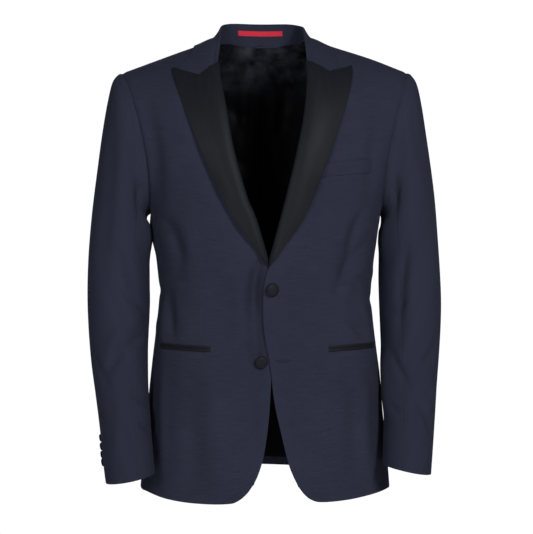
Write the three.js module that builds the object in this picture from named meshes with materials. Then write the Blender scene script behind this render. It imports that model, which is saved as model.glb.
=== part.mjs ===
import * as THREE from 'three';

// A dinner jacket in its worn shape, hollow, in millimetres
// +X is the wearer's left, -Y is the front and +Z is up
// The origin lies between the shoulders, at the height of the neck

const wool = 1.6;
const liningCloth = 1.0;
const seamGap = 0.3;
const liningDepth = 4.6;
const sectionPower = 2.4;
const shoulderCurve = 1.15;

const armhole = {
  topX: 229, bottomX: 186, topZ: -31, bottomZ: -257,
  depth: { front: 68, back: 66 }, scoop: { front: 10, back: 11 }, seamAngle: 140,
};

// Sections below the armhole: half width, and depth of front and back from the middle
const bodyLevels = [
  { z: -720, half: 203, front: 127, back: 123 },
  { z: -650, half: 197.5, front: 125.5, back: 122.5 },
  { z: -590, half: 191.5, front: 123, back: 120 },
  { z: -530, half: 186, front: 121, back: 115 },
  { z: -480, half: 180.5, front: 119.5, back: 107.5 },
  { z: -430, half: 174.5, front: 119, back: 100.5 },
  { z: -385, half: 171, front: 121, back: 98 },
  { z: -345, half: 174, front: 124, back: 101.5 },
  { z: -300, half: 180, front: 126.5, back: 109 },
  { z: -257, half: 187, front: 127.5, back: 116.5 },
  { z: -230, half: 193, front: 127.5, back: 120 },
];

// Sections above, by the armhole angle that they end on; rise is the height at the middle
const shoulderLevels = [
  { angle: -4, rise: 47.2, front: -7, back: -9 },
  { angle: 0, rise: 47, front: 0, back: 0 },
  { angle: 9, rise: 43.5, front: 16, back: 33 },
  { angle: 22, rise: 30, front: 38.5, back: 68 },
  { angle: 38, rise: 5, front: 63, back: 93 },
  { angle: 55, rise: -30, front: 87, back: 109 },
  { angle: 75, rise: -79, front: 108, back: 120 },
  { angle: 95, rise: -133, front: 121, back: 124.5 },
  { angle: 115, rise: -183, front: 126.5, back: 124 },
  { angle: 140, rise: -230.6, front: 127.5, back: 120 },
  { angle: 150, rise: -250, front: 127.5, back: 118 },
];
const topRatio = { front: 0.68, back: 0.31 };

// Hem height by distance from the middle, and by angle round the sides and back
const hemLeft = [
  { out: 43, z: -682 }, { out: 50, z: -692 }, { out: 60, z: -701.5 }, { out: 75, z: -707 },
  { out: 118, z: -706 }, { out: 153, z: -702 }, { out: 190, z: -697 },
];
const hemRight = [
  { out: 26, z: -678 }, { out: 35, z: -691 }, { out: 46, z: -701.5 }, { out: 60, z: -708 },
  { out: 112, z: -709 }, { out: 158, z: -704.5 }, { out: 190, z: -697 },
];
const hemBack = [
  { angle: 0, z: -677 }, { angle: 40, z: -684 }, { angle: 76, z: -692 }, { angle: 90, z: -695 },
  { angle: 104, z: -697 }, { angle: 180, z: -697 },
];
const hemFade = -600;
const blendLevel = -335;

// The opening: half width at the roll line, then each front's edge below the fastening point
const openingMiddle = -3;
const openingEnd = -344;
const neckSeam = { low: -38, high: 4, out: 7.5 };
const rollLine = [
  { z: -400, half: -20 }, { z: -344, half: 0 }, { z: -317, half: 8.5 }, { z: -262, half: 23.5 },
  { z: -206, half: 38 }, { z: -144, half: 52.5 }, { z: -100, half: 61 }, { z: -55, half: 66.5 },
  { z: -16, half: 68.5 }, { z: 10, half: 72 }, { z: 40, half: 76 },
];
const frontEdgeLeft = [
  { z: -700, x: 56 }, { z: -682, x: 43 }, { z: -651, x: 29 }, { z: -604, x: 17 },
  { z: -553, x: 6 }, { z: -494, x: -1 }, { z: -465, x: -6.5 }, { z: -431, x: -11 },
  { z: -382, x: -11 }, { z: -360, x: -8 }, { z: -344, x: -3 },
];
const frontEdgeRight = [
  { z: -700, x: 44 }, { z: -678, x: 26 }, { z: -647, x: 13.5 }, { z: -608, x: 6 },
  { z: -568, x: 1.5 }, { z: -514, x: -2 }, { z: -494, x: -6 }, { z: -431, x: -13 },
  { z: -382, x: -12 }, { z: -360, x: -5.5 }, { z: -344, x: 3 },
];
const overlap = { lift: 2.6, inner: 15, outer: 42, top: -300, bottom: -344 };

// Lapel: outer edge by height, the gorge, the notch and the peak, from the opening's middle
const lapelEdge = [
  { z: -344, out: 0 }, { z: -330, out: 10.5 }, { z: -317, out: 19 }, { z: -285, out: 43 },
  { z: -250, out: 63.5 }, { z: -198, out: 87.5 }, { z: -150, out: 106.5 }, { z: -114, out: 119.5 },
  { z: -84, out: 130 }, { z: -41, out: 143 }, { z: -23.5, out: 144.5 },
];
const gorge = { x: 70, z: -17 };
const notch = { x: 104.5, z: -36.5, place: 0.46 };
const peak = { x: 144.5, z: -23.5 };
const lapelStart = { left: -336, right: -327 };

// The lapel across, from where it is folded under the front to its outer edge
// Each place gives the face and, from it, the reverse
const lapelProfile = [
  { inward: -6, share: 0, rise: -5.8, backIn: 0, backRise: 1.4 },
  { inward: 1.2, share: 0, rise: -5.8, backIn: 0, backRise: 1.4 },
  { inward: 4.2, share: 0, rise: -2.6, backIn: -1.2, backRise: 0.6 },
  { inward: 3.6, share: 0, rise: 1.6, backIn: -1.35, backRise: -0.2 },
  { inward: 0, share: 0.12, rise: 4.8, backIn: 0, backRise: -1.4 },
  { inward: 0, share: 0.42, rise: 5, backIn: 0, backRise: -1.4 },
  { inward: 0, share: 0.72, rise: 4.4, backIn: 0, backRise: -1.4 },
  { inward: 0, share: 1, rise: 4, backIn: 0, backRise: -1.4 },
];

// Collar from the back (0) to the gorge (1): neck seam, fold line and fall edge
const collarLevels = [
  { around: 0, neckX: 0, neckY: 74.2, neckZ: 28,
    foldX: 0, foldY: 84, foldZ: 62, edgeX: 0, edgeY: 92 },
  { around: 0.25, neckX: 36, neckY: 64, neckZ: 28,
    foldX: 38, foldY: 74, foldZ: 61.5, edgeX: 50, edgeY: 84 },
  { around: 0.45, neckX: 59, neckY: 44, neckZ: 28,
    foldX: 61, foldY: 52, foldZ: 57, edgeX: 84, edgeY: 60 },
  { around: 0.62, neckX: 69, neckY: 14, neckZ: 28.5,
    foldX: 71, foldY: 18, foldZ: 47, edgeX: 104, edgeY: 22 },
  { around: 0.8, neckX: 67, neckY: -26, neckZ: 16,
    foldX: 71, foldY: -26, foldZ: 27, edgeX: 121, edgeY: -17 },
  { around: 1, neckX: 69, neckY: -55, neckZ: -14,
    foldX: 66, foldY: -71, foldZ: -14, edgeX: 134, edgeY: -50 },
];
const collarStandOff = 4.2;
const collarShape = { lean: 2.5, round: 3, roll: 3, tuck: 1.5, straightZ: -22, cornerFrom: 0.8 };
const backNeck = { half: 75, depth: 75 };

// Sleeve rings: outermost and innermost point, middle and half depths, and the two seam angles
const sleeveRings = [
  { ring: 0, outX: 229, outZ: -31, inX: 186, inZ: -257,
    y: 0, front: 68, back: 66, scoop: 10.5, fore: 126, hind: 108 },
  { ring: 1, outX: 238.5, outZ: -34.5, inX: 189, inZ: -260,
    y: 0, front: 69, back: 67, scoop: 5, fore: 126, hind: 108 },
  { ring: 2, outX: 247, outZ: -49, inX: 190.5, inZ: -264,
    y: 0, front: 69, back: 67, scoop: 2, fore: 126, hind: 107 },
  { ring: 3, outX: 254.5, outZ: -82, inX: 190.5, inZ: -271,
    y: 0, front: 68, back: 67, scoop: 0, fore: 126, hind: 106 },
  { ring: 4, outX: 261.5, outZ: -125, inX: 189.5, inZ: -281,
    y: 0, front: 67, back: 66, scoop: 0, fore: 125, hind: 104 },
  { ring: 5, outX: 268.5, outZ: -172, inX: 188.5, inZ: -294,
    y: 0, front: 66, back: 65, scoop: 0, fore: 124, hind: 102 },
  { ring: 6, outX: 275, outZ: -222, inX: 187.5, inZ: -312,
    y: 1, front: 65, back: 65, scoop: 0, fore: 123, hind: 99 },
  { ring: 7, outX: 280.5, outZ: -275, inX: 186.5, inZ: -337,
    y: 2, front: 64, back: 65, scoop: 0, fore: 122, hind: 95 },
  { ring: 8, outX: 285, outZ: -330, inX: 186, inZ: -367,
    y: 2, front: 62, back: 64, scoop: 0, fore: 121, hind: 91 },
  { ring: 9, outX: 286.5, outZ: -385, inX: 186, inZ: -402,
    y: -1, front: 60, back: 62, scoop: 0, fore: 120, hind: 86 },
  { ring: 10, outX: 284.5, outZ: -438, inX: 187.5, inZ: -443,
    y: -8, front: 58, back: 60, scoop: 0, fore: 119, hind: 70 },
  { ring: 11, outX: 279.5, outZ: -490, inX: 188.5, inZ: -487,
    y: -22, front: 56, back: 58, scoop: 0, fore: 118, hind: 58 },
  { ring: 12, outX: 272, outZ: -540, inX: 188, inZ: -532,
    y: -42, front: 54, back: 56, scoop: 0, fore: 117, hind: 46 },
  { ring: 13, outX: 265, outZ: -590, inX: 185, inZ: -578,
    y: -64, front: 53, back: 54, scoop: 0, fore: 116, hind: 36 },
  { ring: 14, outX: 259, outZ: -634, inX: 181.5, inZ: -620,
    y: -84, front: 52, back: 52, scoop: 0, fore: 115, hind: 29 },
  { ring: 15, outX: 253.5, outZ: -671, inX: 178, inZ: -656,
    y: -99, front: 51, back: 51, scoop: 0, fore: 115, hind: 25 },
];
const sleeveDrop = { left: 4, right: -6, from: 10 };
const lastRing = 15;
const ringStep = 0.05;

const frontButton = { radius: 10, height: 4.4 };
const cuffButton = {
  radius: 6.2, height: 3.4, count: 4, pitch: 13, lowestRing: 14.2, ringLength: 47, turn: 20,
};
const fastening = { topX: 2.5, topZ: -378, lowerX: -13.5, lowerZ: -490.5 };
const jet = { inner: 91.5, outer: 168, height: 4.6, middle: -470.5, outerLift: 3.5, thick: 1.2 };
const welt = { inner: 68, outer: 163, height: 22.5, z: -194.5, outerLift: 6, thick: 1.2 };
const underlap = { width: 26, top: -462, depth: 2.2, hemInset: 4 };
const liningInset = { hem: 14, front: 58 };
const labelTape = { half: 38, low: 42.5, high: 51.5, thick: 0.6, gap: 0.5, reach: 148 };
const trimGap = 0.35;

const colours = {
  wool: 0x2c303d, satin: 0x1b1c20, lining: 0x0b0b0f, label: 0xa81c30,
};

// Reads one column of a table at a height or place between its rows, on a smooth curve
function readTable(table, key, column, at) {
  const last = table.length - 1;
  const place = THREE.MathUtils.clamp(at, table[0][key], table[last][key]);
  let row = 0;
  while (row < last - 1 && table[row + 1][key] < place) row += 1;
  const slope = (index) => {
    const before = table[Math.max(index - 1, 0)];
    const after = table[Math.min(index + 1, last)];
    return (after[column] - before[column]) / (after[key] - before[key]);
  };
  const low = table[row];
  const high = table[row + 1];
  const span = high[key] - low[key];
  const t = (place - low[key]) / span;
  const value = (2 * t ** 3 - 3 * t ** 2 + 1) * low[column] + (3 * t ** 2 - 2 * t ** 3) * high[column];
  return value + span * ((t ** 3 - 2 * t ** 2 + t) * slope(row) + (t ** 3 - t ** 2) * slope(row + 1));
}

const radians = (degrees) => degrees * Math.PI / 180;
const power = (value, exponent) => Math.sign(value) * Math.abs(value) ** exponent;
const smooth = (low, high, value) => THREE.MathUtils.smoothstep(value, low, high);
const evenly = (count) => Array.from({ length: count + 1 }, (unused, index) => index / count);

// A closed wall between a face and its reverse, two grids of points
function closedWall(face, reverse) {
  const rows = face.length;
  const columns = face[0].length;
  const positions = [...face.flat(), ...reverse.flat()].flatMap((point) => point.toArray());
  const top = (row, column) => row * columns + column;
  const under = (row, column) => rows * columns + top(row, column);
  const index = [];
  const quad = (a, b, c, d) => index.push(a, b, c, a, c, d);
  for (let row = 0; row < rows - 1; row += 1) {
    for (let column = 0; column < columns - 1; column += 1) {
      quad(top(row, column), top(row, column + 1), top(row + 1, column + 1), top(row + 1, column));
      quad(
        under(row, column), under(row + 1, column),
        under(row + 1, column + 1), under(row, column + 1),
      );
    }
    quad(under(row, 0), top(row, 0), top(row + 1, 0), under(row + 1, 0));
    quad(
      top(row, columns - 1), under(row, columns - 1),
      under(row + 1, columns - 1), top(row + 1, columns - 1),
    );
  }
  for (let column = 0; column < columns - 1; column += 1) {
    quad(top(0, column), under(0, column), under(0, column + 1), top(0, column + 1));
    quad(
      under(rows - 1, column), top(rows - 1, column),
      top(rows - 1, column + 1), under(rows - 1, column + 1),
    );
  }
  const geometry = new THREE.BufferGeometry();
  geometry.setAttribute('position', new THREE.Float32BufferAttribute(positions, 3));
  geometry.setIndex(index);
  if (enclosedVolume(geometry) < 0) {
    for (let first = 0; first < index.length; first += 3) {
      [index[first + 1], index[first + 2]] = [index[first + 2], index[first + 1]];
    }
    geometry.setIndex(index);
  }
  return geometry;
}

function enclosedVolume(geometry) {
  const corner = [0, 1, 2].map(() => new THREE.Vector3());
  let sum = 0;
  for (let first = 0; first < geometry.index.count; first += 3) {
    corner.forEach((point, step) => {
      point.fromBufferAttribute(geometry.attributes.position, geometry.index.getX(first + step));
    });
    sum += corner[0].dot(corner[1].clone().cross(corner[2]));
  }
  return sum / 6;
}

// Moves the border points of a grid inwards, so that two pieces keep a gap at their seam
function trimBorder(grid, sides, amount) {
  const rows = grid.length;
  const columns = grid[0].length;
  const pull = (point, towards) => point.add(towards.clone().sub(point).setLength(amount));
  grid.forEach((line) => {
    if (sides.includes('first')) pull(line[0], line[1]);
    if (sides.includes('last')) pull(line[columns - 1], line[columns - 2]);
  });
  for (let column = 0; column < columns; column += 1) {
    if (sides.includes('bottom')) pull(grid[0][column], grid[1][column]);
    if (sides.includes('top')) pull(grid[rows - 1][column], grid[rows - 2][column]);
  }
}

// The unit normal of a surface given by a function of two values
function surfaceNormal(surface, u, v, stepU, stepV) {
  const alongU = surface(u + stepU, v).sub(surface(u - stepU, v));
  const alongV = surface(u, v + stepV).sub(surface(u, v - stepV));
  return alongU.cross(alongV).normalize();
}

function armholePoint(facing, angle) {
  const height = Math.cos(radians(angle));
  const side = Math.sin(radians(angle));
  return {
    x: armhole.bottomX + (armhole.topX - armhole.bottomX) * (1 + height) / 2
      - armhole.scoop[facing] * side ** 2,
    depth: armhole.depth[facing] * side,
    z: (armhole.topZ + armhole.bottomZ) / 2 + (armhole.topZ - armhole.bottomZ) * height / 2,
  };
}

const seamLevel = armholePoint('front', armhole.seamAngle).z;
const topLevel = seamLevel + armhole.seamAngle;
const armholeAngle = (level) => armhole.seamAngle - (level - seamLevel);

// The section at a level, which is a height below the armhole seam and an armhole angle above it
function sectionAt(facing, level) {
  if (level <= seamLevel) {
    const half = readTable(bodyLevels, 'z', 'half', level);
    const depth = readTable(bodyLevels, 'z', facing, level);
    return { half, depth, middle: level, edge: level, reach: half, outer: seamAngle[facing] };
  }
  const angle = armholeAngle(level);
  const end = armholePoint(facing, angle);
  const depth = readTable(shoulderLevels, 'angle', facing, angle);
  const ratio = angle > 3 ? end.depth / depth : topRatio[facing];
  const half = end.x / (1 - ratio ** sectionPower) ** (1 / sectionPower);
  const middle = readTable(shoulderLevels, 'angle', 'rise', angle);
  return { half, depth, middle, edge: end.z, reach: end.x, outer: Math.acos(ratio ** (sectionPower / 2)) };
}

// Where the side seams run, as an angle of the section
const seamAngle = Object.fromEntries(['front', 'back'].map((facing) => {
  const depth = readTable(bodyLevels, 'z', facing, seamLevel);
  const ratio = armholePoint(facing, armhole.seamAngle).depth / depth;
  return [facing, Math.acos(ratio ** (sectionPower / 2))];
}));

function bodyPoint(facing, level, angle) {
  const section = sectionAt(facing, level);
  const x = section.half * power(Math.sin(angle), 2 / sectionPower);
  const depth = section.depth * power(Math.cos(angle), 2 / sectionPower);
  const slant = (Math.abs(x) / section.reach) ** shoulderCurve;
  const z = section.middle + (section.edge - section.middle) * slant;
  return new THREE.Vector3(x, facing === 'front' ? -depth : depth, z);
}

function bodyNormal(facing, level, angle) {
  const surface = (l, a) => bodyPoint(facing, l, a);
  const lowered = Math.min(level, topLevel - 1.6);
  const normal = surfaceNormal(surface, lowered, angle, 1.5, 0.01);
  if (normal.dot(new THREE.Vector3(Math.sin(angle), facing === 'front' ? -1 : 1, 0.6)) < 0) normal.negate();
  if (level > topLevel - 0.5) normal.setY(0).normalize();
  return normal;
}

// The angle of a section whose point lies a given distance from the middle
function angleAt(facing, level, x) {
  const { half } = sectionAt(facing, level);
  return Math.asin(THREE.MathUtils.clamp(power(x / half, sectionPower / 2), -1, 1));
}

// The front's surface at a place seen from the front
function frontAt(x, z) {
  let low = -720;
  let high = topLevel;
  for (let step = 0; step < 24; step += 1) {
    const middle = (low + high) / 2;
    if (bodyPoint('front', middle, angleAt('front', middle, x)).z < z) low = middle;
    else high = middle;
  }
  const level = (low + high) / 2;
  const angle = angleAt('front', level, x);
  return { point: bodyPoint('front', level, angle), normal: bodyNormal('front', level, angle) };
}

// The height of the shoulder at a place seen from above
function shoulderHeight(x, y) {
  const facing = y < 0 ? 'front' : 'back';
  let low = seamLevel;
  let high = topLevel;
  for (let step = 0; step < 24; step += 1) {
    const middle = (low + high) / 2;
    if (Math.abs(bodyPoint(facing, middle, angleAt(facing, middle, x)).y) > Math.abs(y)) low = middle;
    else high = middle;
  }
  return bodyPoint(facing, low, angleAt(facing, low, x)).z;
}

function overlapLift(side, x, z) {
  if (side < 0) return 0;
  const across = 1 - smooth(overlap.inner, overlap.outer, x);
  return overlap.lift * across * (1 - smooth(overlap.bottom, overlap.top, z));
}

// Heights of the rows: a share of the way up from the hem, then levels, then armhole angles
const hemShares = [0, 0.14, 0.32, 0.62];
const bodyRows = [-600, -555, -512, -470, -430, -392, -356, -322, -290, -260];
const frontShares = [0, 0.045, 0.105, 0.18, 0.27, 0.37, 0.475, 0.58, 0.685, 0.79, 0.895, 1];
const shoulderAngles = [140, 122, 104, 87, 71, 56, 42, 29, 18, 9, 0];

function rowLevels(hem, share) {
  const lower = hemShares.map((part) => hem + (hemFade - hem) * part);
  const upper = shoulderAngles.map((angle) => seamLevel + armhole.seamAngle - angle);
  return [...lower, ...bodyRows, ...upper].filter((unused, row) => share === 1 || row % share === 0);
}

// Makes the two grids of a wall from a function that gives each point and normal
function wallGrids(rows, columns, place, depthOut, thickness) {
  const face = [];
  const reverse = [];
  for (let row = 0; row < rows; row += 1) {
    face.push([]);
    reverse.push([]);
    for (let column = 0; column < columns; column += 1) {
      const { point, normal, lift = 0 } = place(row, column);
      face[row].push(point.clone().addScaledVector(normal, depthOut + lift));
      reverse[row].push(point.clone().addScaledVector(normal, depthOut + lift - thickness));
    }
  }
  return [face, reverse];
}

function mirrored(grids, side) {
  grids.forEach((grid) => grid.forEach((line) => line.forEach((point) => { point.x *= side; })));
  return grids;
}

function sewnWall(grids, side, trims) {
  grids.forEach((grid) => trimBorder(grid, trims, seamGap / 2));
  const [face, reverse] = mirrored(grids, side);
  return closedWall(face, reverse);
}

// Distance of a front's edge from the middle, where the wearer's left overlaps the right
function frontEdge(side, z) {
  const neckCut = neckSeam.out * smooth(neckSeam.low, neckSeam.high, z);
  if (z > openingEnd) return readTable(rollLine, 'z', 'half', z) + side * openingMiddle + neckCut;
  return readTable(side > 0 ? frontEdgeLeft : frontEdgeRight, 'z', 'x', z);
}

function frontPanel(side, thickness, depthOut, inset, edgeInset, coarse) {
  const hemTable = side > 0 ? hemLeft : hemRight;
  const corner = hemTable[0].z + inset;
  const levels = rowLevels(corner, coarse);
  const shares = coarse === 1 ? frontShares : evenly(6);
  const place = (row, column) => {
    let level = levels[row];
    let edge = frontEdge(side, level) + edgeInset;
    if (level > seamLevel) {
      for (let pass = 0; pass < 4; pass += 1) {
        edge = frontEdge(side, bodyPoint('front', level, angleAt('front', level, edge)).z) + edgeInset;
      }
    }
    const inner = angleAt('front', level, edge);
    const angle = inner + (sectionAt('front', level).outer - inner) * shares[column];
    if (level < hemFade) {
      const out = bodyPoint('front', level, angle).x;
      const share = (hemFade - level) / (hemFade - corner);
      level = hemFade + (readTable(hemTable, 'out', 'z', out) + inset - hemFade) * share;
    }
    const point = bodyPoint('front', level, angle);
    return { point, normal: bodyNormal('front', level, angle), lift: overlapLift(side, point.x, point.z) };
  };
  return wallGrids(levels.length, shares.length, place, depthOut, thickness);
}

// The back's columns, with one that meets the end of the neck seam
function backColumns(inner, outer) {
  const neckAngle = angleAt('back', topLevel, backNeck.half);
  const neckShare = neckAngle / sectionAt('back', topLevel).outer;
  const before = evenly(inner).map((part) => part * neckShare);
  const after = evenly(outer).slice(1).map((part) => neckShare + (1 - neckShare) * part);
  return [...before, ...after];
}

// The armhole angle at which a column of the back meets the neck seam
function neckLevel(share) {
  let low = seamLevel;
  let high = topLevel;
  for (let step = 0; step < 24; step += 1) {
    const middle = (low + high) / 2;
    const point = bodyPoint('back', middle, share * sectionAt('back', middle).outer);
    const across = Math.min(point.x / backNeck.half, 1);
    if (point.y > backNeck.depth * Math.sqrt(1 - across ** 2)) low = middle;
    else high = middle;
  }
  return high;
}

function backPanel(thickness, depthOut, inset, coarse) {
  const levels = rowLevels(hemBack[0].z + inset, coarse);
  const shares = coarse === 1 ? backColumns(3, 7) : backColumns(2, 4);
  const place = (row, column) => {
    const share = shares[column];
    const top = share < backColumns(1, 1)[1] - 0.001 ? neckLevel(share) : topLevel;
    let level = levels[row];
    if (level > seamLevel) level = seamLevel + (level - seamLevel) * (top - seamLevel) / armhole.seamAngle;
    const angle = share * sectionAt('back', level).outer;
    if (level < hemFade) level = hemLevel(levels, row, THREE.MathUtils.radToDeg(angle), inset);
    return { point: bodyPoint('back', level, angle), normal: bodyNormal('back', level, angle) };
  };
  return wallGrids(levels.length, shares.length, place, depthOut, thickness);
}

// The height of a row near the hem at an angle from the middle of the back
function hemLevel(levels, row, degrees, inset) {
  const share = (hemFade - levels[row]) / (hemFade - levels[0]);
  return hemFade + (readTable(hemBack, 'angle', 'z', degrees) + inset - hemFade) * share;
}

function sidePanel(thickness, depthOut, inset, coarse) {
  const levels = rowLevels(hemBack[0].z + inset, coarse).filter((level) => level <= seamLevel + 0.01);
  const columns = coarse === 1 ? 6 : 4;
  const place = (row, column) => {
    const across = column / (columns - 1);
    const angle = seamAngle.front + (Math.PI - seamAngle.back - seamAngle.front) * across;
    const facing = angle <= Math.PI / 2 ? 'front' : 'back';
    const fromMiddle = facing === 'front' ? angle : Math.PI - angle;
    const around = armhole.seamAngle + (180 - armhole.seamAngle) * 2 * across;
    const end = armholePoint(facing, around <= 180 ? around : 360 - around);
    let level = levels[row];
    const blend = smooth(blendLevel, seamLevel, level);
    if (level < hemFade) level = hemLevel(levels, row, THREE.MathUtils.radToDeg(Math.PI - angle), inset);
    if (level > blendLevel) {
      level = blendLevel + (level - blendLevel) * (end.z - blendLevel) / (seamLevel - blendLevel);
    }
    const point = bodyPoint(facing, level, fromMiddle);
    const endPoint = new THREE.Vector3(end.x, facing === 'front' ? -end.depth : end.depth, end.z);
    const shift = endPoint.sub(bodyPoint(facing, end.z, fromMiddle));
    return { point: point.addScaledVector(shift, blend), normal: bodyNormal(facing, level, fromMiddle) };
  };
  return wallGrids(levels.length, columns, place, depthOut, thickness);
}

function ventUnderlap() {
  const levels = rowLevels(hemBack[0].z + underlap.hemInset, 1).filter((level) => level < underlap.top);
  const columns = 5;
  const place = (row, column) => {
    const x = underlap.width * (2 * column / (columns - 1) - 1);
    const angle = angleAt('back', levels[row], x);
    return { point: bodyPoint('back', levels[row], angle), normal: bodyNormal('back', levels[row], angle) };
  };
  return closedWall(...wallGrids(levels.length, columns, place, -underlap.depth, wool));
}

function sleevePoint(ring, angle, drop) {
  const value = (column) => readTable(sleeveRings, 'ring', column, ring);
  const height = Math.cos(angle);
  const side = Math.sin(angle);
  const fall = drop * smooth(sleeveDrop.from, lastRing, ring);
  return new THREE.Vector3(
    (value('outX') + value('inX') + (value('outX') - value('inX')) * height) / 2 - value('scoop') * side ** 2,
    value('y') - side * (side > 0 ? value('front') : value('back')),
    (value('outZ') + value('inZ')) / 2 + (value('outZ') - value('inZ')) / 2 * height + fall,
  );
}

function sleeveNormal(ring, angle, drop) {
  const surface = (r, a) => sleevePoint(r, a, drop);
  const inner = THREE.MathUtils.clamp(ring, ringStep, lastRing - ringStep);
  const normal = surfaceNormal(surface, inner, angle, ringStep, 0.02);
  const centre = surface(ring, 0).add(surface(ring, Math.PI)).multiplyScalar(0.5);
  if (normal.dot(surface(ring, angle).sub(centre)) < 0) normal.negate();
  return normal;
}

// The top sleeve runs over the outside from seam to seam, and the under sleeve runs inside
function sleevePanel(side, under) {
  const drop = side > 0 ? sleeveDrop.left : sleeveDrop.right;
  const columns = under ? 10 : 15;
  const rings = evenly(lastRing).map((share) => share * lastRing);
  const place = (row, column) => {
    const ring = rings[row];
    const fore = radians(readTable(sleeveRings, 'ring', 'fore', ring));
    const hind = radians(readTable(sleeveRings, 'ring', 'hind', ring));
    const from = under ? fore : -hind;
    const to = under ? 2 * Math.PI - hind : fore;
    const angle = from + (to - from) * column / (columns - 1);
    const point = sleevePoint(ring, angle, drop);
    if (row === 0) point.x += 2 * seamGap;
    return { point, normal: sleeveNormal(ring, angle, drop) };
  };
  return sewnWall(wallGrids(rings.length, columns, place, 0, wool), side, ['first', 'last']);
}

// How far a place across the fall or the lapel lies from its notch: 1 at it and 0 at both ends
function notchShare(share) {
  return 1 - Math.abs(share - notch.place) / (share < notch.place ? notch.place : 1 - notch.place);
}

// The lapel, from the fastening point up to the gorge and the peak
function lapel(side) {
  const start = side > 0 ? lapelStart.left : lapelStart.right;
  const rows = 13;
  const middle = side * openingMiddle;
  const straight = gorge.z + (peak.z - gorge.z) * notch.place;
  const place = (up, { inward, share, rise }) => {
    const innerZ = start + (gorge.z - start) * up;
    const outerZ = start + (peak.z - start) * up;
    const inner = Math.min(readTable(rollLine, 'z', 'half', innerZ), gorge.x) + middle;
    const outer = readTable(lapelEdge, 'z', 'out', outerZ) + middle;
    const dip = (notch.z - straight) * Math.max(notchShare(share), 0) * up ** 8;
    const z = innerZ + (outerZ - innerZ) * share + dip;
    const x = inner + (outer - inner) * share - inward;
    const { point, normal } = frontAt(x, z);
    return point.addScaledVector(normal, rise + overlapLift(side, x, z));
  };
  const face = evenly(rows - 1).map((up) => lapelProfile.map((across) => place(up, across)));
  const reverse = evenly(rows - 1).map((up) => lapelProfile.map((across) => {
    const { inward, share, rise, backIn, backRise } = across;
    return place(up, { inward: inward + backIn, share, rise: rise + backRise });
  }));
  return closedWall(...mirrored([face, reverse], side));
}

// The collar's face from the neck seam, over the fold, to the edge of the fall
const collarProfile = [
  { part: 'stand', share: 0 }, { part: 'stand', share: 0.55 }, { part: 'stand', share: 0.92 },
  { part: 'fall', share: 0.03 }, { part: 'fall', share: 0.16 }, { part: 'fall', share: 0.46 },
  { part: 'fall', share: 0.74 }, { part: 'fall', share: 1 },
];

function collarPoint(around, profile) {
  const place = Math.abs(around);
  const value = (column) => readTable(collarLevels, 'around', column, place);
  const neck = new THREE.Vector3(value('neckX'), value('neckY'), value('neckZ'));
  const fold = new THREE.Vector3(value('foldX'), value('foldY'), value('foldZ'));
  const edge = new THREE.Vector3(value('edgeX'), value('edgeY'), 0);
  edge.z = shoulderHeight(edge.x, edge.y) + collarStandOff;
  const { part, share } = profile;
  const point = part === 'stand' ? neck.lerp(fold, share) : fold.lerp(edge, share);
  const away = edge.clone().sub(neck).setZ(0).normalize();
  if (part === 'stand') point.addScaledVector(away, -collarShape.lean * share * (1 - place));
  if (part === 'fall') {
    const round = Math.sin(Math.PI * share);
    point.addScaledVector(away, collarShape.round * round + collarShape.roll * (1 - share));
    point.z += collarShape.round * round - collarShape.tuck * (1 - share) ** 4;
    const corner = smooth(collarShape.cornerFrom, 1, place) ** 2;
    point.z += (notch.z - collarShape.straightZ) * notchShare(share) * corner;
    if (share > 0.1) {
      const surface = shoulderHeight(point.x, point.y);
      point.z = Math.max(point.z, surface + collarStandOff);
    }
  }
  point.x *= Math.sign(around) || 1;
  point.x += openingMiddle;
  return point;
}

function collar() {
  const places = evenly(28).map((share) => 2 * share - 1);
  const face = places.map((around) => collarProfile.map((profile) => collarPoint(around, profile)));
  return closedWall(face, offsetGrid(face, wool));
}

// The reverse of a grid of points, moved along its own normals
function offsetGrid(face, thickness) {
  const rows = face.length;
  const columns = face[0].length;
  return face.map((line, row) => line.map((point, column) => {
    const across = line[Math.min(column + 1, columns - 1)].clone().sub(line[Math.max(column - 1, 0)]);
    const along = face[Math.min(row + 1, rows - 1)][column].clone().sub(face[Math.max(row - 1, 0)][column]);
    const normal = across.cross(along).normalize();
    return point.clone().addScaledVector(normal, thickness);
  }));
}

// A strip of cloth on the front, between two distances from the middle
function frontStrip(side, strip, low, high, columns) {
  const place = (row, column) => {
    const across = column / (columns - 1);
    const x = strip.inner + (strip.outer - strip.inner) * across;
    const z = (row === 0 ? low : high) + strip.outerLift * across;
    return frontAt(x, z);
  };
  return closedWall(...mirrored(wallGrids(2, columns, place, trimGap + strip.thick, strip.thick), side));
}

function labelStrip() {
  const face = [labelTape.low, labelTape.high].map((z) => evenly(6).map((across) => {
    const x = labelTape.half * (2 * across - 1);
    const around = x / labelTape.reach;
    const value = (column) => readTable(collarLevels, 'around', column, Math.abs(around));
    const share = (z - value('neckZ')) / (value('foldZ') - value('neckZ'));
    const stand = collarPoint(around, { part: 'stand', share });
    return new THREE.Vector3(stand.x, stand.y - labelTape.gap, z);
  }));
  const reverse = face.map((line) => line.map((point) => point.clone().setY(point.y - labelTape.thick)));
  return closedWall(face, reverse);
}

// A covered button: a domed disc whose axis is Z
function buttonShape({ radius, height }) {
  const profile = [
    [0, 0], [0.86, 0], [1, 0.22], [0.98, 0.5], [0.8, 0.82], [0.42, 0.97], [0, 1],
  ].map(([out, up]) => new THREE.Vector2(out * radius, up * height));
  const geometry = new THREE.LatheGeometry(profile, 14);
  return geometry.rotateX(Math.PI / 2);
}

const jacket = new THREE.Group();

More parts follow.
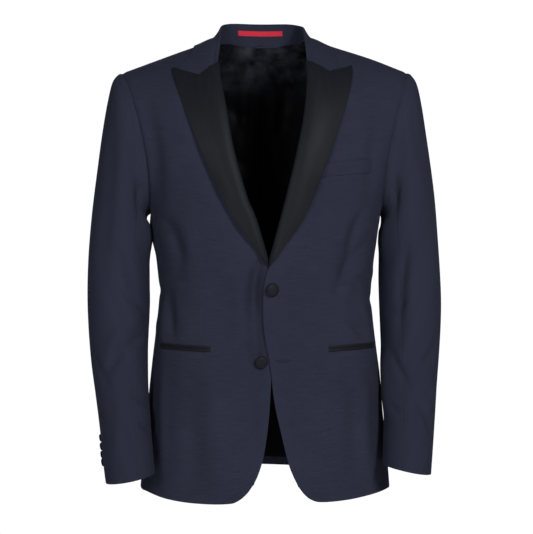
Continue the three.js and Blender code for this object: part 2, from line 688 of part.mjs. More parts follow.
function addPiece(name, geometry, finish) {
  const roughness = { wool: 0.85, satin: 0.45, lining: 0.5, label: 0.7 }[finish];
  const material = new THREE.MeshStandardMaterial({ color: colours[finish], roughness, metalness: 0 });
  const mesh = new THREE.Mesh(geometry, material);
  mesh.name = name;
  jacket.add(mesh);
  return mesh;
}

function addButton(name, size, point, normal) {
  const mesh = addPiece(name, buttonShape(size), 'satin');
  mesh.position.copy(point).addScaledVector(normal, trimGap);
  mesh.quaternion.setFromUnitVectors(new THREE.Vector3(0, 0, 1), normal);
}

const frontSeams = ['last', 'top'];
const allSeams = ['first', 'last', 'top'];

for (const [word, side] of [['left', 1], ['right', -1]]) {
  addPiece(`front_${word}`, sewnWall(frontPanel(side, wool, 0, 0, 0, 1), side, frontSeams), 'wool');
  addPiece(`side_${word}`, sewnWall(sidePanel(wool, 0, 0, 1), side, allSeams), 'wool');
  addPiece(`back_${word}`, sewnWall(backPanel(wool, 0, 0, 1), side, allSeams), 'wool');
  addPiece(`top_sleeve_${word}`, sleevePanel(side, false), 'wool');
  addPiece(`under_sleeve_${word}`, sleevePanel(side, true), 'wool');
  addPiece(`lapel_${word}`, lapel(side), 'satin');
  const low = jet.middle - jet.height - seamGap / 2;
  const high = jet.middle + seamGap / 2;
  addPiece(`jet_lower_${word}`, frontStrip(side, jet, low, low + jet.height, 13), 'satin');
  addPiece(`jet_upper_${word}`, frontStrip(side, jet, high, high + jet.height, 13), 'satin');
  const liningFront = frontPanel(side, liningCloth, -liningDepth, liningInset.hem, liningInset.front, 2);
  const liningSide = sidePanel(liningCloth, -liningDepth, liningInset.hem, 2);
  const liningBack = backPanel(liningCloth, -liningDepth, liningInset.hem, 2);
  addPiece(`lining_front_${word}`, sewnWall(liningFront, side, frontSeams), 'lining');
  addPiece(`lining_side_${word}`, sewnWall(liningSide, side, allSeams), 'lining');
  addPiece(`lining_back_${word}`, sewnWall(liningBack, side, allSeams), 'lining');
}
addPiece('vent_underlap', ventUnderlap(), 'wool');
addPiece('collar', collar(), 'wool');
addPiece('label', labelStrip(), 'label');
addPiece('breast_welt', frontStrip(1, welt, welt.z - welt.height / 2, welt.z + welt.height / 2, 9), 'wool');

const frontButtons = [
  { name: 'button_front_top', x: fastening.topX, z: fastening.topZ, side: 1 },
  { name: 'button_front_lower', x: fastening.lowerX, z: fastening.lowerZ, side: -1 },
];
for (const { name, x, z, side } of frontButtons) {
  const { point, normal } = frontAt(x, z);
  addButton(name, frontButton, point.addScaledVector(normal, overlapLift(side, x, z)), normal);
}

for (const [word, side] of [['left', 1], ['right', -1]]) {
  const drop = side > 0 ? sleeveDrop.left : sleeveDrop.right;
  for (let number = 0; number < cuffButton.count; number += 1) {
    const ring = cuffButton.lowestRing - number * cuffButton.pitch / cuffButton.ringLength;
    const angle = -radians(readTable(sleeveRings, 'ring', 'hind', ring) - cuffButton.turn);
    const point = sleevePoint(ring, angle, drop);
    const normal = sleeveNormal(ring, angle, drop);
    point.x *= side;
    normal.x *= side;
    addButton(`button_cuff_${word}_${number + 1}`, cuffButton, point, normal);
  }
}

export default jacket;
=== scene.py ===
import math

import bmesh
import bpy
import numpy as np
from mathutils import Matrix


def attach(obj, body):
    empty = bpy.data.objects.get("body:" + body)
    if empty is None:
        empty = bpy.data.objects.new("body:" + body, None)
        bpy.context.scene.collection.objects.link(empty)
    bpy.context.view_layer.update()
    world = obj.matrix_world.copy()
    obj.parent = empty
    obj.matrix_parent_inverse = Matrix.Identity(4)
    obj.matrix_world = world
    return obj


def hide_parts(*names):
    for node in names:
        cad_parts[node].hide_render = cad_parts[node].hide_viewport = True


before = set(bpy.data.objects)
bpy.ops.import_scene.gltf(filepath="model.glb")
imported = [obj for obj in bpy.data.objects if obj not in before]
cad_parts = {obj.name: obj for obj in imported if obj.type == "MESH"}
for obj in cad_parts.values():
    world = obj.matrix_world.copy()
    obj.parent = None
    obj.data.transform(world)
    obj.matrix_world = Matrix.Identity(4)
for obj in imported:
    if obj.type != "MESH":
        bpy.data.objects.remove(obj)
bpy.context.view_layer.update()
print("frame loaded")

# Sizes are worked out in millimetres, as in the part's source, and turned to metres at the end
millimetre = 0.001


def table(names, *rows):
    return {name: np.array(values, float) for name, values in zip(names.split(), zip(*rows))}


def readTable(source, key, column, at):
    keys, values = source[key], source[column]
    last = len(keys) - 1
    before = np.maximum(np.arange(last + 1) - 1, 0)
    after = np.minimum(np.arange(last + 1) + 1, last)
    slopes = (values[after] - values[before]) / (keys[after] - keys[before])
    at = np.clip(np.asarray(at, float), keys[0], keys[-1])
    row = np.searchsorted(keys[1:-1], at, side="left")
    span = keys[row + 1] - keys[row]
    t = (at - keys[row]) / span
    value = (2 * t**3 - 3 * t**2 + 1) * values[row] + (3 * t**2 - 2 * t**3) * values[row + 1]
    return value + span * ((t**3 - 2 * t**2 + t) * slopes[row] + (t**3 - t**2) * slopes[row + 1])


def smooth(low, high, value):
    part = np.clip((np.asarray(value, float) - low) / (high - low), 0, 1)
    return part * part * (3 - 2 * part)


def power(value, exponent):
    return np.sign(value) * np.abs(value) ** exponent


# The body's surface, from the same tables as the solids

body = {"power": 2.4, "shoulderCurve": 1.15, "hemFade": -600, "blendLevel": -335}
armhole = {
    "topX": 229, "bottomX": 186, "topZ": -31, "bottomZ": -257, "seamAngle": 140,
    "front": {"depth": 68, "scoop": 10, "top": 0.68}, "back": {"depth": 66, "scoop": 11, "top": 0.31},
}
bodyLevels = table(
    "z half front back",
    (-720, 203, 127, 123), (-650, 197.5, 125.5, 122.5), (-590, 191.5, 123, 120), (-530, 186, 121, 115),
    (-480, 180.5, 119.5, 107.5), (-430, 174.5, 119, 100.5), (-385, 171, 121, 98), (-345, 174, 124, 101.5),
    (-300, 180, 126.5, 109), (-257, 187, 127.5, 116.5), (-230, 193, 127.5, 120),
)
shoulderLevels = table(
    "angle rise front back",
    (-4, 47.2, -7, -9), (0, 47, 0, 0), (9, 43.5, 16, 33), (22, 30, 38.5, 68), (38, 5, 63, 93),
    (55, -30, 87, 109), (75, -79, 108, 120), (95, -133, 121, 124.5), (115, -183, 126.5, 124),
    (140, -230.6, 127.5, 120), (150, -250, 127.5, 118),
)
hemTables = {
    1: table("out z", (43, -682), (50, -692), (60, -701.5), (75, -707), (118, -706), (153, -702),
        (190, -697)),
    -1: table("out z", (26, -678), (35, -691), (46, -701.5), (60, -708), (112, -709), (158, -704.5),
        (190, -697)),
}
hemBack = table("angle z", (0, -677), (40, -684), (76, -692), (90, -695), (104, -697), (180, -697))
opening = {"middle": -3, "end": -344, "neckLow": -38, "neckHigh": 4, "neckOut": 7.5}
rollLine = table(
    "z half",
    (-400, -20), (-344, 0), (-317, 8.5), (-262, 23.5), (-206, 38), (-144, 52.5), (-100, 61), (-55, 66.5),
    (-16, 68.5), (10, 72), (40, 76),
)
frontEdges = {
    1: table(
        "z x", (-700, 56), (-682, 43), (-651, 29), (-604, 17), (-553, 6), (-494, -1), (-465, -6.5),
        (-431, -11), (-382, -11), (-360, -8), (-344, -3),
    ),
    -1: table(
        "z x", (-700, 44), (-678, 26), (-647, 13.5), (-608, 6), (-568, 1.5), (-514, -2), (-494, -6),
        (-431, -13), (-382, -12), (-360, -5.5), (-344, 3),
    ),
}
overlap = {"lift": 2.6, "inner": 15, "outer": 42, "top": -300, "bottom": -344}


def armholePoint(facing, angle):
    height, side = np.cos(np.radians(angle)), np.sin(np.radians(angle))
    half = (armhole["topX"] - armhole["bottomX"]) * (1 + height) / 2
    x = armhole["bottomX"] + half - armhole[facing]["scoop"] * side**2
    z = (armhole["topZ"] + armhole["bottomZ"]) / 2 + (armhole["topZ"] - armhole["bottomZ"]) * height / 2
    return x, armhole[facing]["depth"] * side, z


seamLevel = float(armholePoint("front", armhole["seamAngle"])[2])
topLevel = seamLevel + armhole["seamAngle"]


def seamAngle(facing):
    depth = readTable(bodyLevels, "z", facing, seamLevel)
    ratio = armholePoint(facing, armhole["seamAngle"])[1] / depth
    return float(np.arccos(ratio ** (body["power"] / 2)))


sideSeams = {facing: seamAngle(facing) for facing in ("front", "back")}


def sectionAt(facing, level):
    level = np.asarray(level, float)
    low = level <= seamLevel
    half = readTable(bodyLevels, "z", "half", level)
    depth = readTable(bodyLevels, "z", facing, level)
    angle = np.clip(armhole["seamAngle"] - (level - seamLevel), -4, 150)
    endX, endDepth, endZ = armholePoint(facing, angle)
    upDepth = readTable(shoulderLevels, "angle", facing, angle)
    safe = np.where(angle > 3, upDepth, 1)
    ratio = np.where(angle > 3, np.clip(endDepth / safe, 0, 0.999), armhole[facing]["top"])
    upHalf = endX / (1 - ratio ** body["power"]) ** (1 / body["power"])
    return {
        "half": np.where(low, half, upHalf),
        "depth": np.where(low, depth, upDepth),
        "middle": np.where(low, level, readTable(shoulderLevels, "angle", "rise", angle)),
        "edge": np.where(low, level, endZ),
        "reach": np.where(low, half, endX),
        "outer": np.where(low, sideSeams[facing], np.arccos(ratio ** (body["power"] / 2))),
    }


def bodyPoint(facing, level, angle):
    section = sectionAt(facing, level)
    x = section["half"] * power(np.sin(angle), 2 / body["power"])
    depth = section["depth"] * power(np.cos(angle), 2 / body["power"])
    slant = (np.abs(x) / section["reach"]) ** body["shoulderCurve"]
    z = section["middle"] + (section["edge"] - section["middle"]) * slant
    x, y, z = np.broadcast_arrays(x, -depth if facing == "front" else depth, z)
    return np.stack([x, y, z], axis=-1)


def angleAt(facing, level, x):
    half = sectionAt(facing, level)["half"]
    return np.arcsin(np.clip(power(x / half, body["power"] / 2), -1, 1))


def frontAt(x, z):
    # the front's surface at places seen from the front, with its normal
    x, z = np.broadcast_arrays(np.asarray(x, float), np.asarray(z, float))
    low, high = np.full(x.shape, -720.0), np.full(x.shape, topLevel)
    for _ in range(26):
        middle = (low + high) / 2
        under = bodyPoint("front", middle, angleAt("front", middle, x))[..., 2] < z
        low, high = np.where(under, middle, low), np.where(under, high, middle)
    level = (low + high) / 2
    angle = angleAt("front", level, x)
    at = np.minimum(level, topLevel - 1.6)
    alongLevel = bodyPoint("front", at + 1.5, angle) - bodyPoint("front", at - 1.5, angle)
    alongAngle = bodyPoint("front", at, angle + 0.01) - bodyPoint("front", at, angle - 0.01)
    normal = unit(np.cross(alongAngle, alongLevel))
    normal *= np.where(normal[..., 1:2] > 0, -1, 1)
    return bodyPoint("front", level, angle), normal


def shoulderHeight(x, y):
    heights = []
    for facing in ("front", "back"):
        low, high = np.full(np.shape(x), seamLevel), np.full(np.shape(x), topLevel)
        for _ in range(26):
            middle = (low + high) / 2
            past = np.abs(bodyPoint(facing, middle, angleAt(facing, middle, x))[..., 1]) > np.abs(y)
            low, high = np.where(past, middle, low), np.where(past, high, middle)
        heights.append(bodyPoint(facing, low, angleAt(facing, low, x))[..., 2])
    return np.where(y < 0, heights[0], heights[1])


def overlapLift(side, x, z):
    if side < 0:
        return np.zeros(np.broadcast(x, z).shape)
    across = 1 - smooth(overlap["inner"], overlap["outer"], x)
    return overlap["lift"] * across * (1 - smooth(overlap["bottom"], overlap["top"], z))


# Tools for grids of points

def unit(vectors):
    return vectors / np.maximum(np.linalg.norm(vectors, axis=-1, keepdims=True), 1e-9)


def gridNormals(grid, outward):
    normals = unit(np.cross(np.gradient(grid, axis=1), np.gradient(grid, axis=0)))
    return normals * (1 if (normals * outward).sum(-1).mean() > 0 else -1)


def alongRows(grid):
    steps = np.linalg.norm(np.diff(grid, axis=1), axis=-1)
    return np.concatenate([np.zeros((len(grid), 1)), np.cumsum(steps, axis=1)], axis=1)


def alongColumns(grid):
    return alongRows(grid.transpose(1, 0, 2)).T


def seamDip(grid, sides, deep, wide):
    # a soft trough along the seams, by the distance to each
    across, up = alongRows(grid), alongColumns(grid)
    away = {"first": across, "last": across[:, -1:] - across, "bottom": up, "top": up[-1:] - up}
    return sum(-deep * np.exp(-((away[side] / wide) ** 2)) for side in sides)


def fromArmhole(grid, wide):
    # 0 at the armhole, 1 from this far off it, so that sleeve and body meet there
    away = alongRows(grid)[:, -1:] - alongRows(grid)
    above = smooth(seamLevel - wide, seamLevel, grid[..., 2])
    return 1 - (1 - smooth(0, wide, away)) * above


def foldLift(folds, u, v):
    # each fold is a soft trough or ridge that fades out at both its ends
    lift = np.zeros(np.broadcast(u, v).shape)
    for startU, startV, endU, endV, bow, wide, rise in folds:
        lengthU, lengthV = endU - startU, endV - startV
        length = math.hypot(lengthU, lengthV)
        along = ((u - startU) * lengthU + (v - startV) * lengthV) / length**2
        across = ((u - startU) * lengthV - (v - startV) * lengthU) / length
        across = across - bow * (1 - (2 * along - 1) ** 2)
        fade = smooth(-0.3, 0.35, along) * smooth(-0.3, 0.35, 1 - along)
        lift += rise * np.exp(-((across / wide) ** 2)) * fade
    return lift


def ripple(u, v, size, length, seed):
    # slow unevenness of cloth that hangs, the same at every run
    total = 0
    for step in range(4):
        turn = seed * 1.7 + step * 2.4
        wave = length * (1 + 0.37 * step)
        total = total + np.sin((u * math.cos(turn) + v * math.sin(turn)) * 2 * math.pi / wave + turn * 3)
    return size * total / 4


def makeMesh(name, points, faces, places, finishes, slots):
    mesh = bpy.data.meshes.new(name)
    mesh.vertices.add(len(points))
    mesh.vertices.foreach_set("co", (points * millimetre).astype(np.float32).ravel())
    mesh.loops.add(faces.size)
    mesh.loops.foreach_set("vertex_index", faces.astype(np.int32).ravel())
    mesh.polygons.add(len(faces))
    mesh.polygons.foreach_set("loop_start", np.arange(0, faces.size, 4, dtype=np.int32))
    mesh.polygons.foreach_set("material_index", slots.astype(np.int32))
    mesh.polygons.foreach_set("use_smooth", np.ones(len(faces), bool))
    layer = mesh.uv_layers.new(name="cloth")
    layer.data.foreach_set("uv", (places[faces.ravel()] * millimetre).astype(np.float32).ravel())
    for finish in finishes:
        mesh.materials.append(finish)
    mesh.update(calc_edges=True)
    mesh.validate()
    made = bpy.data.objects.new(name, mesh)
    bpy.context.scene.collection.objects.link(made)
    return made


def shell(name, face, reverse, finishes, sewn=(), gap=-0.2, inner=None):
    # a cloth wall between a face and its reverse, with rolled edges
    face, reverse = face.copy(), reverse.copy()
    rows, columns = face.shape[:2]
    ends = {"first": (slice(None), 0, 1), "last": (slice(None), -1, -2)}
    half = np.linalg.norm(face - reverse, axis=-1).mean() / 2
    places = np.stack([alongRows(face), alongColumns(face)], axis=-1)
    for grid in (face, reverse):
        for side in ("first", "last", "bottom", "top"):
            view = grid if side in ends else grid.transpose(1, 0, 2)
            edge, near = (0, 1) if side in ("first", "bottom") else (-1, -2)
            inward = unit(view[:, near] - view[:, edge])
            view[:, edge] += inward * (half + (gap if side in sewn else 0))
    centre, lean = (face + reverse) / 2, (face - reverse) / 2
    border = [(0, column) for column in range(columns)]
    border += [(row, columns - 1) for row in range(1, rows)]
    border += [(rows - 1, column) for column in range(columns - 2, -1, -1)]
    border += [(row, 0) for row in range(rows - 2, 0, -1)]
    row, column = np.array(border).T
    outward = np.zeros((len(border), 3))
    for at, line, near in ((column == 0, 0, 1), (column == columns - 1, -1, -2)):
        outward[at] += unit(centre[row[at], line] - centre[row[at], near])
    for at, line, near in ((row == 0, 0, 1), (row == rows - 1, -1, -2)):
        outward[at] += unit(centre[line, column[at]] - centre[near, column[at]])
    thick = lean[row, column]
    flat = unit(thick)
    outward = unit(outward - (outward * flat).sum(-1, keepdims=True) * flat)
    size = np.linalg.norm(thick, axis=-1, keepdims=True)
    rings = [
        centre[row, column] + thick * math.cos(turn) + outward * size * math.sin(turn)
        for turn in (math.pi / 4, math.pi / 2, 3 * math.pi / 4)
    ]
    points = np.concatenate([face.reshape(-1, 3), reverse.reshape(-1, 3), *rings])
    count, edge = rows * columns, len(border)
    index = np.arange(count).reshape(rows, columns)
    top = np.stack([index[:-1, :-1], index[:-1, 1:], index[1:, 1:], index[1:, :-1]], axis=-1).reshape(-1, 4)
    under = top[:, ::-1] + count
    around = row * columns + column
    loops = [around, *(2 * count + step * edge + np.arange(edge) for step in range(3)), around + count]
    strips = [
        np.stack([np.roll(a, -1), a, b, np.roll(b, -1)], axis=-1) for a, b in zip(loops[:-1], loops[1:])
    ]
    faces = np.concatenate([top, under, *strips])
    facing = np.cross(face[1:-1, 2:] - face[1:-1, :-2], face[2:, 1:-1] - face[:-2, 1:-1])
    if (facing * lean[1:-1, 1:-1]).sum() < 0:
        faces = faces[:, ::-1]
    slots = np.zeros(len(faces), int)
    if inner is not None:
        slots[len(top):2 * len(top)] = inner[:-1, :-1].ravel()
    spot = places.reshape(-1, 2)
    places = np.concatenate([spot, spot, *([spot[around]] * 3)])
    return makeMesh(name, points, faces, places, finishes, slots)


def wall(name, grid, normals, lift, thickness, finishes, sewn=(), inner=None):
    face = grid + normals * lift[..., None]
    return shell(name, face, face - normals * thickness, finishes, sewn, inner=inner)


def dress(piece, nodes):
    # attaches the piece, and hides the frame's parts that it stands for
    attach(piece, "root")
    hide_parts(*nodes)
    return piece


# Finishes

class Wire:
    # a node's output that can stand in a sum
    def __init__(self, finish, socket):
        self.finish = finish
        self.socket = socket

    def __add__(self, other):
        return self.finish.node("Math", {"operation": "ADD"}, {0: self, 1: other})

    def __radd__(self, other):
        return self.finish.node("Math", {"operation": "ADD"}, {0: other, 1: self})

    def __sub__(self, other):
        return self.finish.node("Math", {"operation": "SUBTRACT"}, {0: self, 1: other})

    def __rsub__(self, other):
        return self.finish.node("Math", {"operation": "SUBTRACT"}, {0: other, 1: self})

    def __mul__(self, other):
        return self.finish.node("Math", {"operation": "MULTIPLY"}, {0: self, 1: other})

    def __rmul__(self, other):
        return self.finish.node("Math", {"operation": "MULTIPLY"}, {0: other, 1: self})


class Finish:
    def __init__(self, owner):
        # the owner is a material or a world
        self.owner = owner
        owner.use_nodes = True
        self.tree = owner.node_tree
        self.tree.nodes.clear()

    def node(self, kind, settings, sockets, output=0):
        made = self.tree.nodes.new("ShaderNode" + kind)
        for key, value in settings.items():
            setattr(made, key, value)
        for key, value in sockets.items():
            if isinstance(value, Wire):
                self.tree.links.new(value.socket, made.inputs[key])
            else:
                made.inputs[key].default_value = value
        return Wire(self, made.outputs[output]) if len(made.outputs) else None

    def cloth(self, across, up):
        # places on the cut cloth in metres, across and along its warp
        place = self.node("UVMap", {"uv_map": "cloth"}, {})
        return self.node("Mapping", {}, {"Vector": place, "Scale": (across, up, 1)})

    def noise(self, across, up, detail=3):
        sockets = {"Vector": self.cloth(across, up), "Scale": 1, "Detail": detail, "Roughness": 0.6}
        return self.node("TexNoise", {"noise_dimensions": "2D"}, sockets)

    def threads(self, direction, pitch):
        settings = {"wave_type": "BANDS", "bands_direction": direction}
        return self.node("TexWave", settings, {"Vector": self.cloth(1, 1), "Scale": 0.314 / pitch})

    def mix(self, share, first, second):
        return self.node("Mix", {"data_type": "RGBA"}, {0: share, 6: first, 7: second}, output=2)

    def finish(self, colour, roughness, height, depth, uniform):
        normal = self.node("Bump", {}, {"Strength": 1, "Distance": depth, "Height": height})
        sockets = {"Base Color": colour, "Roughness": roughness, "Normal": normal, **uniform}
        shader = self.node("BsdfPrincipled", {}, sockets)
        self.node("OutputMaterial", {}, {"Surface": shader})
        return self.owner


woolLook = {
    "dark": (0.0061, 0.007, 0.0122, 1), "light": (0.0161, 0.0178, 0.0285, 1),
    "threadPitch": 0.0012, "slub": 0.75, "roughness": 0.74, "relief": 0.00022,
    "uniform": {
        "Specular IOR Level": 0, "Sheen Weight": 0.02, "Sheen Roughness": 0.45,
        "Sheen Tint": (0.55, 0.6, 0.8, 1),
    },
}


def woolFinish(name, look):
    made = Finish(bpy.data.materials.new(name))
    slub = made.noise(34, 640)
    fine = made.noise(160, 1500, 2)
    drift = made.noise(9, 7, 2)
    warp = made.threads("X", look["threadPitch"])
    weft = made.threads("Y", look["threadPitch"])
    share = slub * look["slub"] + fine * 0.35 + drift * 0.3 - (0.5 * look["slub"] + 0.325) + 0.5
    colour = made.mix(share, look["dark"], look["light"])
    height = warp * weft * 0.35 + slub * 0.9 + fine * 0.4
    roughness = look["roughness"] + (slub - 0.5) * 0.16
    return made.finish(colour, roughness, height, look["relief"], look["uniform"])


satinLook = {
    "dark": (0.003, 0.0035, 0.0046, 1), "light": (0.0056, 0.0065, 0.0082, 1),
    "roughness": 0.5, "relief": 0.00006,
    "uniform": {"Specular IOR Level": 0.035},
}


def satinFinish(name, look):
    made = Finish(bpy.data.materials.new(name))
    streak = made.noise(420, 24, 2)
    drift = made.noise(14, 9, 2)
    ribs = made.threads("Y", 0.0009)
    share = streak * 0.7 + drift * 0.5 - 0.1
    colour = made.mix(share, look["dark"], look["light"])
    height = ribs * 0.5 + streak * 0.5
    roughness = look["roughness"] + (streak - 0.5) * 0.12 + (drift - 0.5) * 0.1
    return made.finish(colour, roughness, height, look["relief"], look["uniform"])


# The neck colour is a painted sheen: just below the collar the lining is painted lighter in crumpled patches,
# where light would catch its creases
liningLook = {
    "dark": (0.0003, 0.00034, 0.0006, 1), "light": (0.0011, 0.0012, 0.0018, 1),
    "neck": (0.017, 0.018, 0.023, 1), "paintedSheenFrom": -0.075, "paintedSheenTo": 0.015,
    "roughness": 0.4, "relief": 0.00008, "uniform": {"Specular IOR Level": 0.015},
}


def liningFinish(name, look):
    made = Finish(bpy.data.materials.new(name))
    warp = made.threads("X", 0.0014)
    weft = made.threads("Y", 0.0014)
    drift = made.noise(30, 22, 3)
    colour = made.mix(drift * 0.8 + warp * weft * 0.3, look["dark"], look["light"])
    # painted sheen: lighter crumpled patches painted onto the lining's top, chosen by height in object space
    # and a noise
    place = made.node("TexCoord", {}, {}, output=3)
    rise = made.node("SeparateXYZ", {}, {"Vector": place}, output=2)
    reach = {0: rise, 1: look["paintedSheenFrom"], 2: look["paintedSheenTo"]}
    near = made.node("MapRange", {"interpolation_type": "SMOOTHSTEP"}, reach)
    crumpleSheen = made.node("TexNoise", {}, {"Vector": place, "Scale": 38, "Detail": 3, "Roughness": 0.55})
    colour = made.mix(near * (crumpleSheen * 2.4 - 0.75), colour, look["neck"])
    height = warp * weft * 0.6 + drift
    roughness = look["roughness"] + (drift - 0.5) * 0.2
    return made.finish(colour, roughness, height, look["relief"], look["uniform"])


labelLook = {
    "dark": (0.2, 0.005, 0.014, 1), "light": (0.3, 0.009, 0.024, 1),
    "roughness": 0.55, "relief": 0.00015, "uniform": {"Specular IOR Level": 0.12},
}


def labelFinish(name, look):
    made = Finish(bpy.data.materials.new(name))
    ribs = made.threads("X", 0.0011)
    weave = made.noise(500, 900, 2)
    colour = made.mix(ribs * 0.45 + weave * 0.55, look["dark"], look["light"])
    return made.finish(colour, look["roughness"] + weave * 0.1, ribs + weave, look["relief"], look["uniform"])


wool = woolFinish("navyWool", woolLook)
satin = satinFinish("blackSatin", satinLook)
lining = liningFinish("blackLining", liningLook)
labelRed = labelFinish("redTape", labelLook)
threadLook = {**satinLook, "dark": (0.01, 0.011, 0.016, 1), "light": (0.02, 0.022, 0.03, 1)}
thread = satinFinish("navyThread", threadLook)
print("finishes made")


# Fronts. Folds are given by their two ends, their bow, width and rise, seen from the front

def rowLevels(hem, lower, middle, upper):
    part = np.concatenate([np.linspace(hem, body["hemFade"], lower)[:-1]])
    straight = np.linspace(body["hemFade"], seamLevel, middle)[:-1]
    return np.concatenate([part, straight, topLevel - np.linspace(armhole["seamAngle"], 0, upper)])


rollShift = table("z right left", (-344, 0, 0), (-300, 0, 0), (-262, 2, 0), (-239, 6, 0),
    (-162, 9, 0), (-100, 7, 0),
    (-55, 9, 0), (-18, 9, 0), (2, 0, 0), (40, 0, 0))


def rollHalf(side, z):
    return readTable(rollLine, "z", "half", z) + readTable(rollShift, "z", "left" if side > 0 else "right", z)


def frontEdge(side, z):
    cut = opening["neckOut"] * smooth(opening["neckLow"], opening["neckHigh"], z)
    upper = rollHalf(side, z) + side * opening["middle"] + cut
    return np.where(z > opening["end"], upper, readTable(frontEdges[side], "z", "x", z))


frontFolds = {
    1: [
        (144, -262, 124, -335, 3, 9, -2.8), (124, -262, 105, -324, 2, 13, 1.7),
        (127, -425, 158, -453, 0, 8, -2.0), (112, -338, 142, -374, 3, 9, -1.8),
        (148, -392, 166, -470, 0, 9, 1.6), (20, -384, 108, -398, -3, 8, 0.9),
        (152, -518, 156, -650, 2, 11, 1.6), (128, -530, 132, -668, -3, 15, -1.5),
        (99, -168, 46, -296, -4, 9, -2.2), (176, -100, 160, -232, 4, 12, -2.2),
        (128, -90, 104, -165, -2, 8, -1.3), (158, -302, 106, -378, 6, 9, -2.2),
        (160, -334, 118, -398, 6, 10, 1.4), (20, -420, 40, -470, 2, 12, -0.9),
        (92, -120, 120, -60, 0, 20, 1.2), (60, -540, 66, -690, 4, 22, 1.4),
        (104, -250, 92, -400, 5, 14, 1.1),
    ],
    -1: [
        (-155, -386, -151, -449, 1, 7, -2.4), (-167, -392, -166, -474, 0, 6, 1.3),
        (-160, -272, -138, -338, -4, 10, -2.6), (-18, -336, -27, -408, 2, 10, -6.4),
        (-26, -392, -20, -520, 0, 11, -3.8), (-101, -186, -27, -325, 5, 10, -2.2),
        (-136, -90, -106, -180, 2, 8, -1.3), (-58, -350, -46, -440, -3, 15, 1.6),
        (-30, -520, -26, -660, 2, 15, -1.4), (-92, -470, -82, -690, 3, 28, 1.5),
        (-166, -510, -165, -650, 0, 7, 1.5), (-86, -549, -70, -692, 3, 26, 1.5),
        (-116, -540, -110, -690, 2, 18, -1.4), (-188, -100, -174, -240, -4, 12, -2.4),
        (-120, -150, -132, -70, 0, 22, 1.2), (-30, -390, -112, -402, 3, 8, 0.9),
        (-128, -250, -112, -400, 4, 14, 1.0),
    ],
}
darts = {
    1: table("z x", (-461, 111.5), (-431, 104.7), (-388, 98.3), (-355, 97.5), (-322, 97)),
    -1: table("z x", (-461, -104), (-411, -102.7), (-376, -103.6), (-340, -110.4), (-309, -118),
        (-258, -124.4)),
}
dartLook = {"deep": 0.9, "wide": 1.3, "puff": 0.5, "puffWide": 7, "fade": 26}
foldScale = {"front": 2.2, "back": 1.5, "sleeve": 2, "lining": 1.3}


def frontLift(side, x, z):
    # x is the real one, so under 0 on the wearer's right
    lift = foldLift(frontFolds[side], x, z) * foldScale["front"] + ripple(x, z, 0.9, 95, 2 + side)
    dart = darts[side]
    away = x - readTable(dart, "z", "x", z)
    low, high = dart["z"][0], dart["z"][-1]
    reach = smooth(low - 2, low + 4, z) * (1 - smooth(high - dartLook["fade"], high, z))
    lift += reach * dartLook["puff"] * np.exp(-((away / dartLook["puffWide"]) ** 2))
    lift -= reach * dartLook["deep"] * np.exp(-((away / dartLook["wide"]) ** 2))
    return lift


def frontGrid(side, columns, rows, inset=0, edgeInset=0):
    hem = hemTables[side]
    corner = hem["z"][0] + inset
    levels = rowLevels(corner, *rows)
    edge = frontEdge(side, levels) + edgeInset
    for _ in range(5):
        height = bodyPoint("front", levels, angleAt("front", levels, edge))[..., 2]
        edge = np.where(levels > seamLevel, frontEdge(side, height) + edgeInset, edge)
    inner = angleAt("front", levels, edge)[:, None]
    outer = sectionAt("front", levels)["outer"][:, None]
    angle = inner + (outer - inner) * columns[None, :]
    level = np.repeat(levels[:, None], len(columns), axis=1)
    out = bodyPoint("front", level, angle)[..., 0]
    share = (body["hemFade"] - level) / (body["hemFade"] - corner)
    hemmed = body["hemFade"] + (readTable(hem, "out", "z", out) + inset - body["hemFade"]) * share
    grid = bodyPoint("front", np.where(level < body["hemFade"], hemmed, level), angle)
    return raised(grid * (side, 1, 1), side)


shoulderRaise = {"side": 1, "high": 4.6, "from": 86, "to": 186, "low": -120, "top": -34}


def raised(grid, side):
    # the shoulder is a little higher on the wearer's left, as in the photo
    if side != shoulderRaise["side"]:
        return grid
    across = smooth(shoulderRaise["from"], shoulderRaise["to"], grid[..., 0])
    up = smooth(shoulderRaise["low"], shoulderRaise["top"], grid[..., 2])
    return grid + (shoulderRaise["high"] * across * up)[..., None] * (0, 0, 1)


def levelSeam(normals):
    # both walls stand square to the shoulder seam
    normals[-1, :, 1] = 0
    return unit(normals)


cloth = {"wool": 1.6, "lining": 1.0, "liningDepth": 4.6, "liningHem": 14, "liningFront": 58}
seams = {"deep": 0.9, "wide": 3.2, "calm": 15}
words = {1: "left", -1: "right"}
bodyRows = (34, 116, 88)
frontColumns = np.linspace(0, 1, 76) ** 1.12

fronts = {}
for side, word in words.items():
    grid = frontGrid(side, frontColumns, bodyRows)
    normals = levelSeam(gridNormals(grid, grid * (1, 1, 0)))
    x, z = grid[..., 0], grid[..., 2]
    lift = frontLift(side, x, z) * fromArmhole(grid, seams["calm"])
    lift += seamDip(grid, ("last", "top"), seams["deep"], seams["wide"])
    lift += overlapLift(side, x, z)
    fronts[side] = wall(f"front{word.title()}", grid, normals, lift, cloth["wool"], [wool], ("last", "top"))
    dress(fronts[side], [f"front_{word}"])
print("fronts made")


# Sides and back

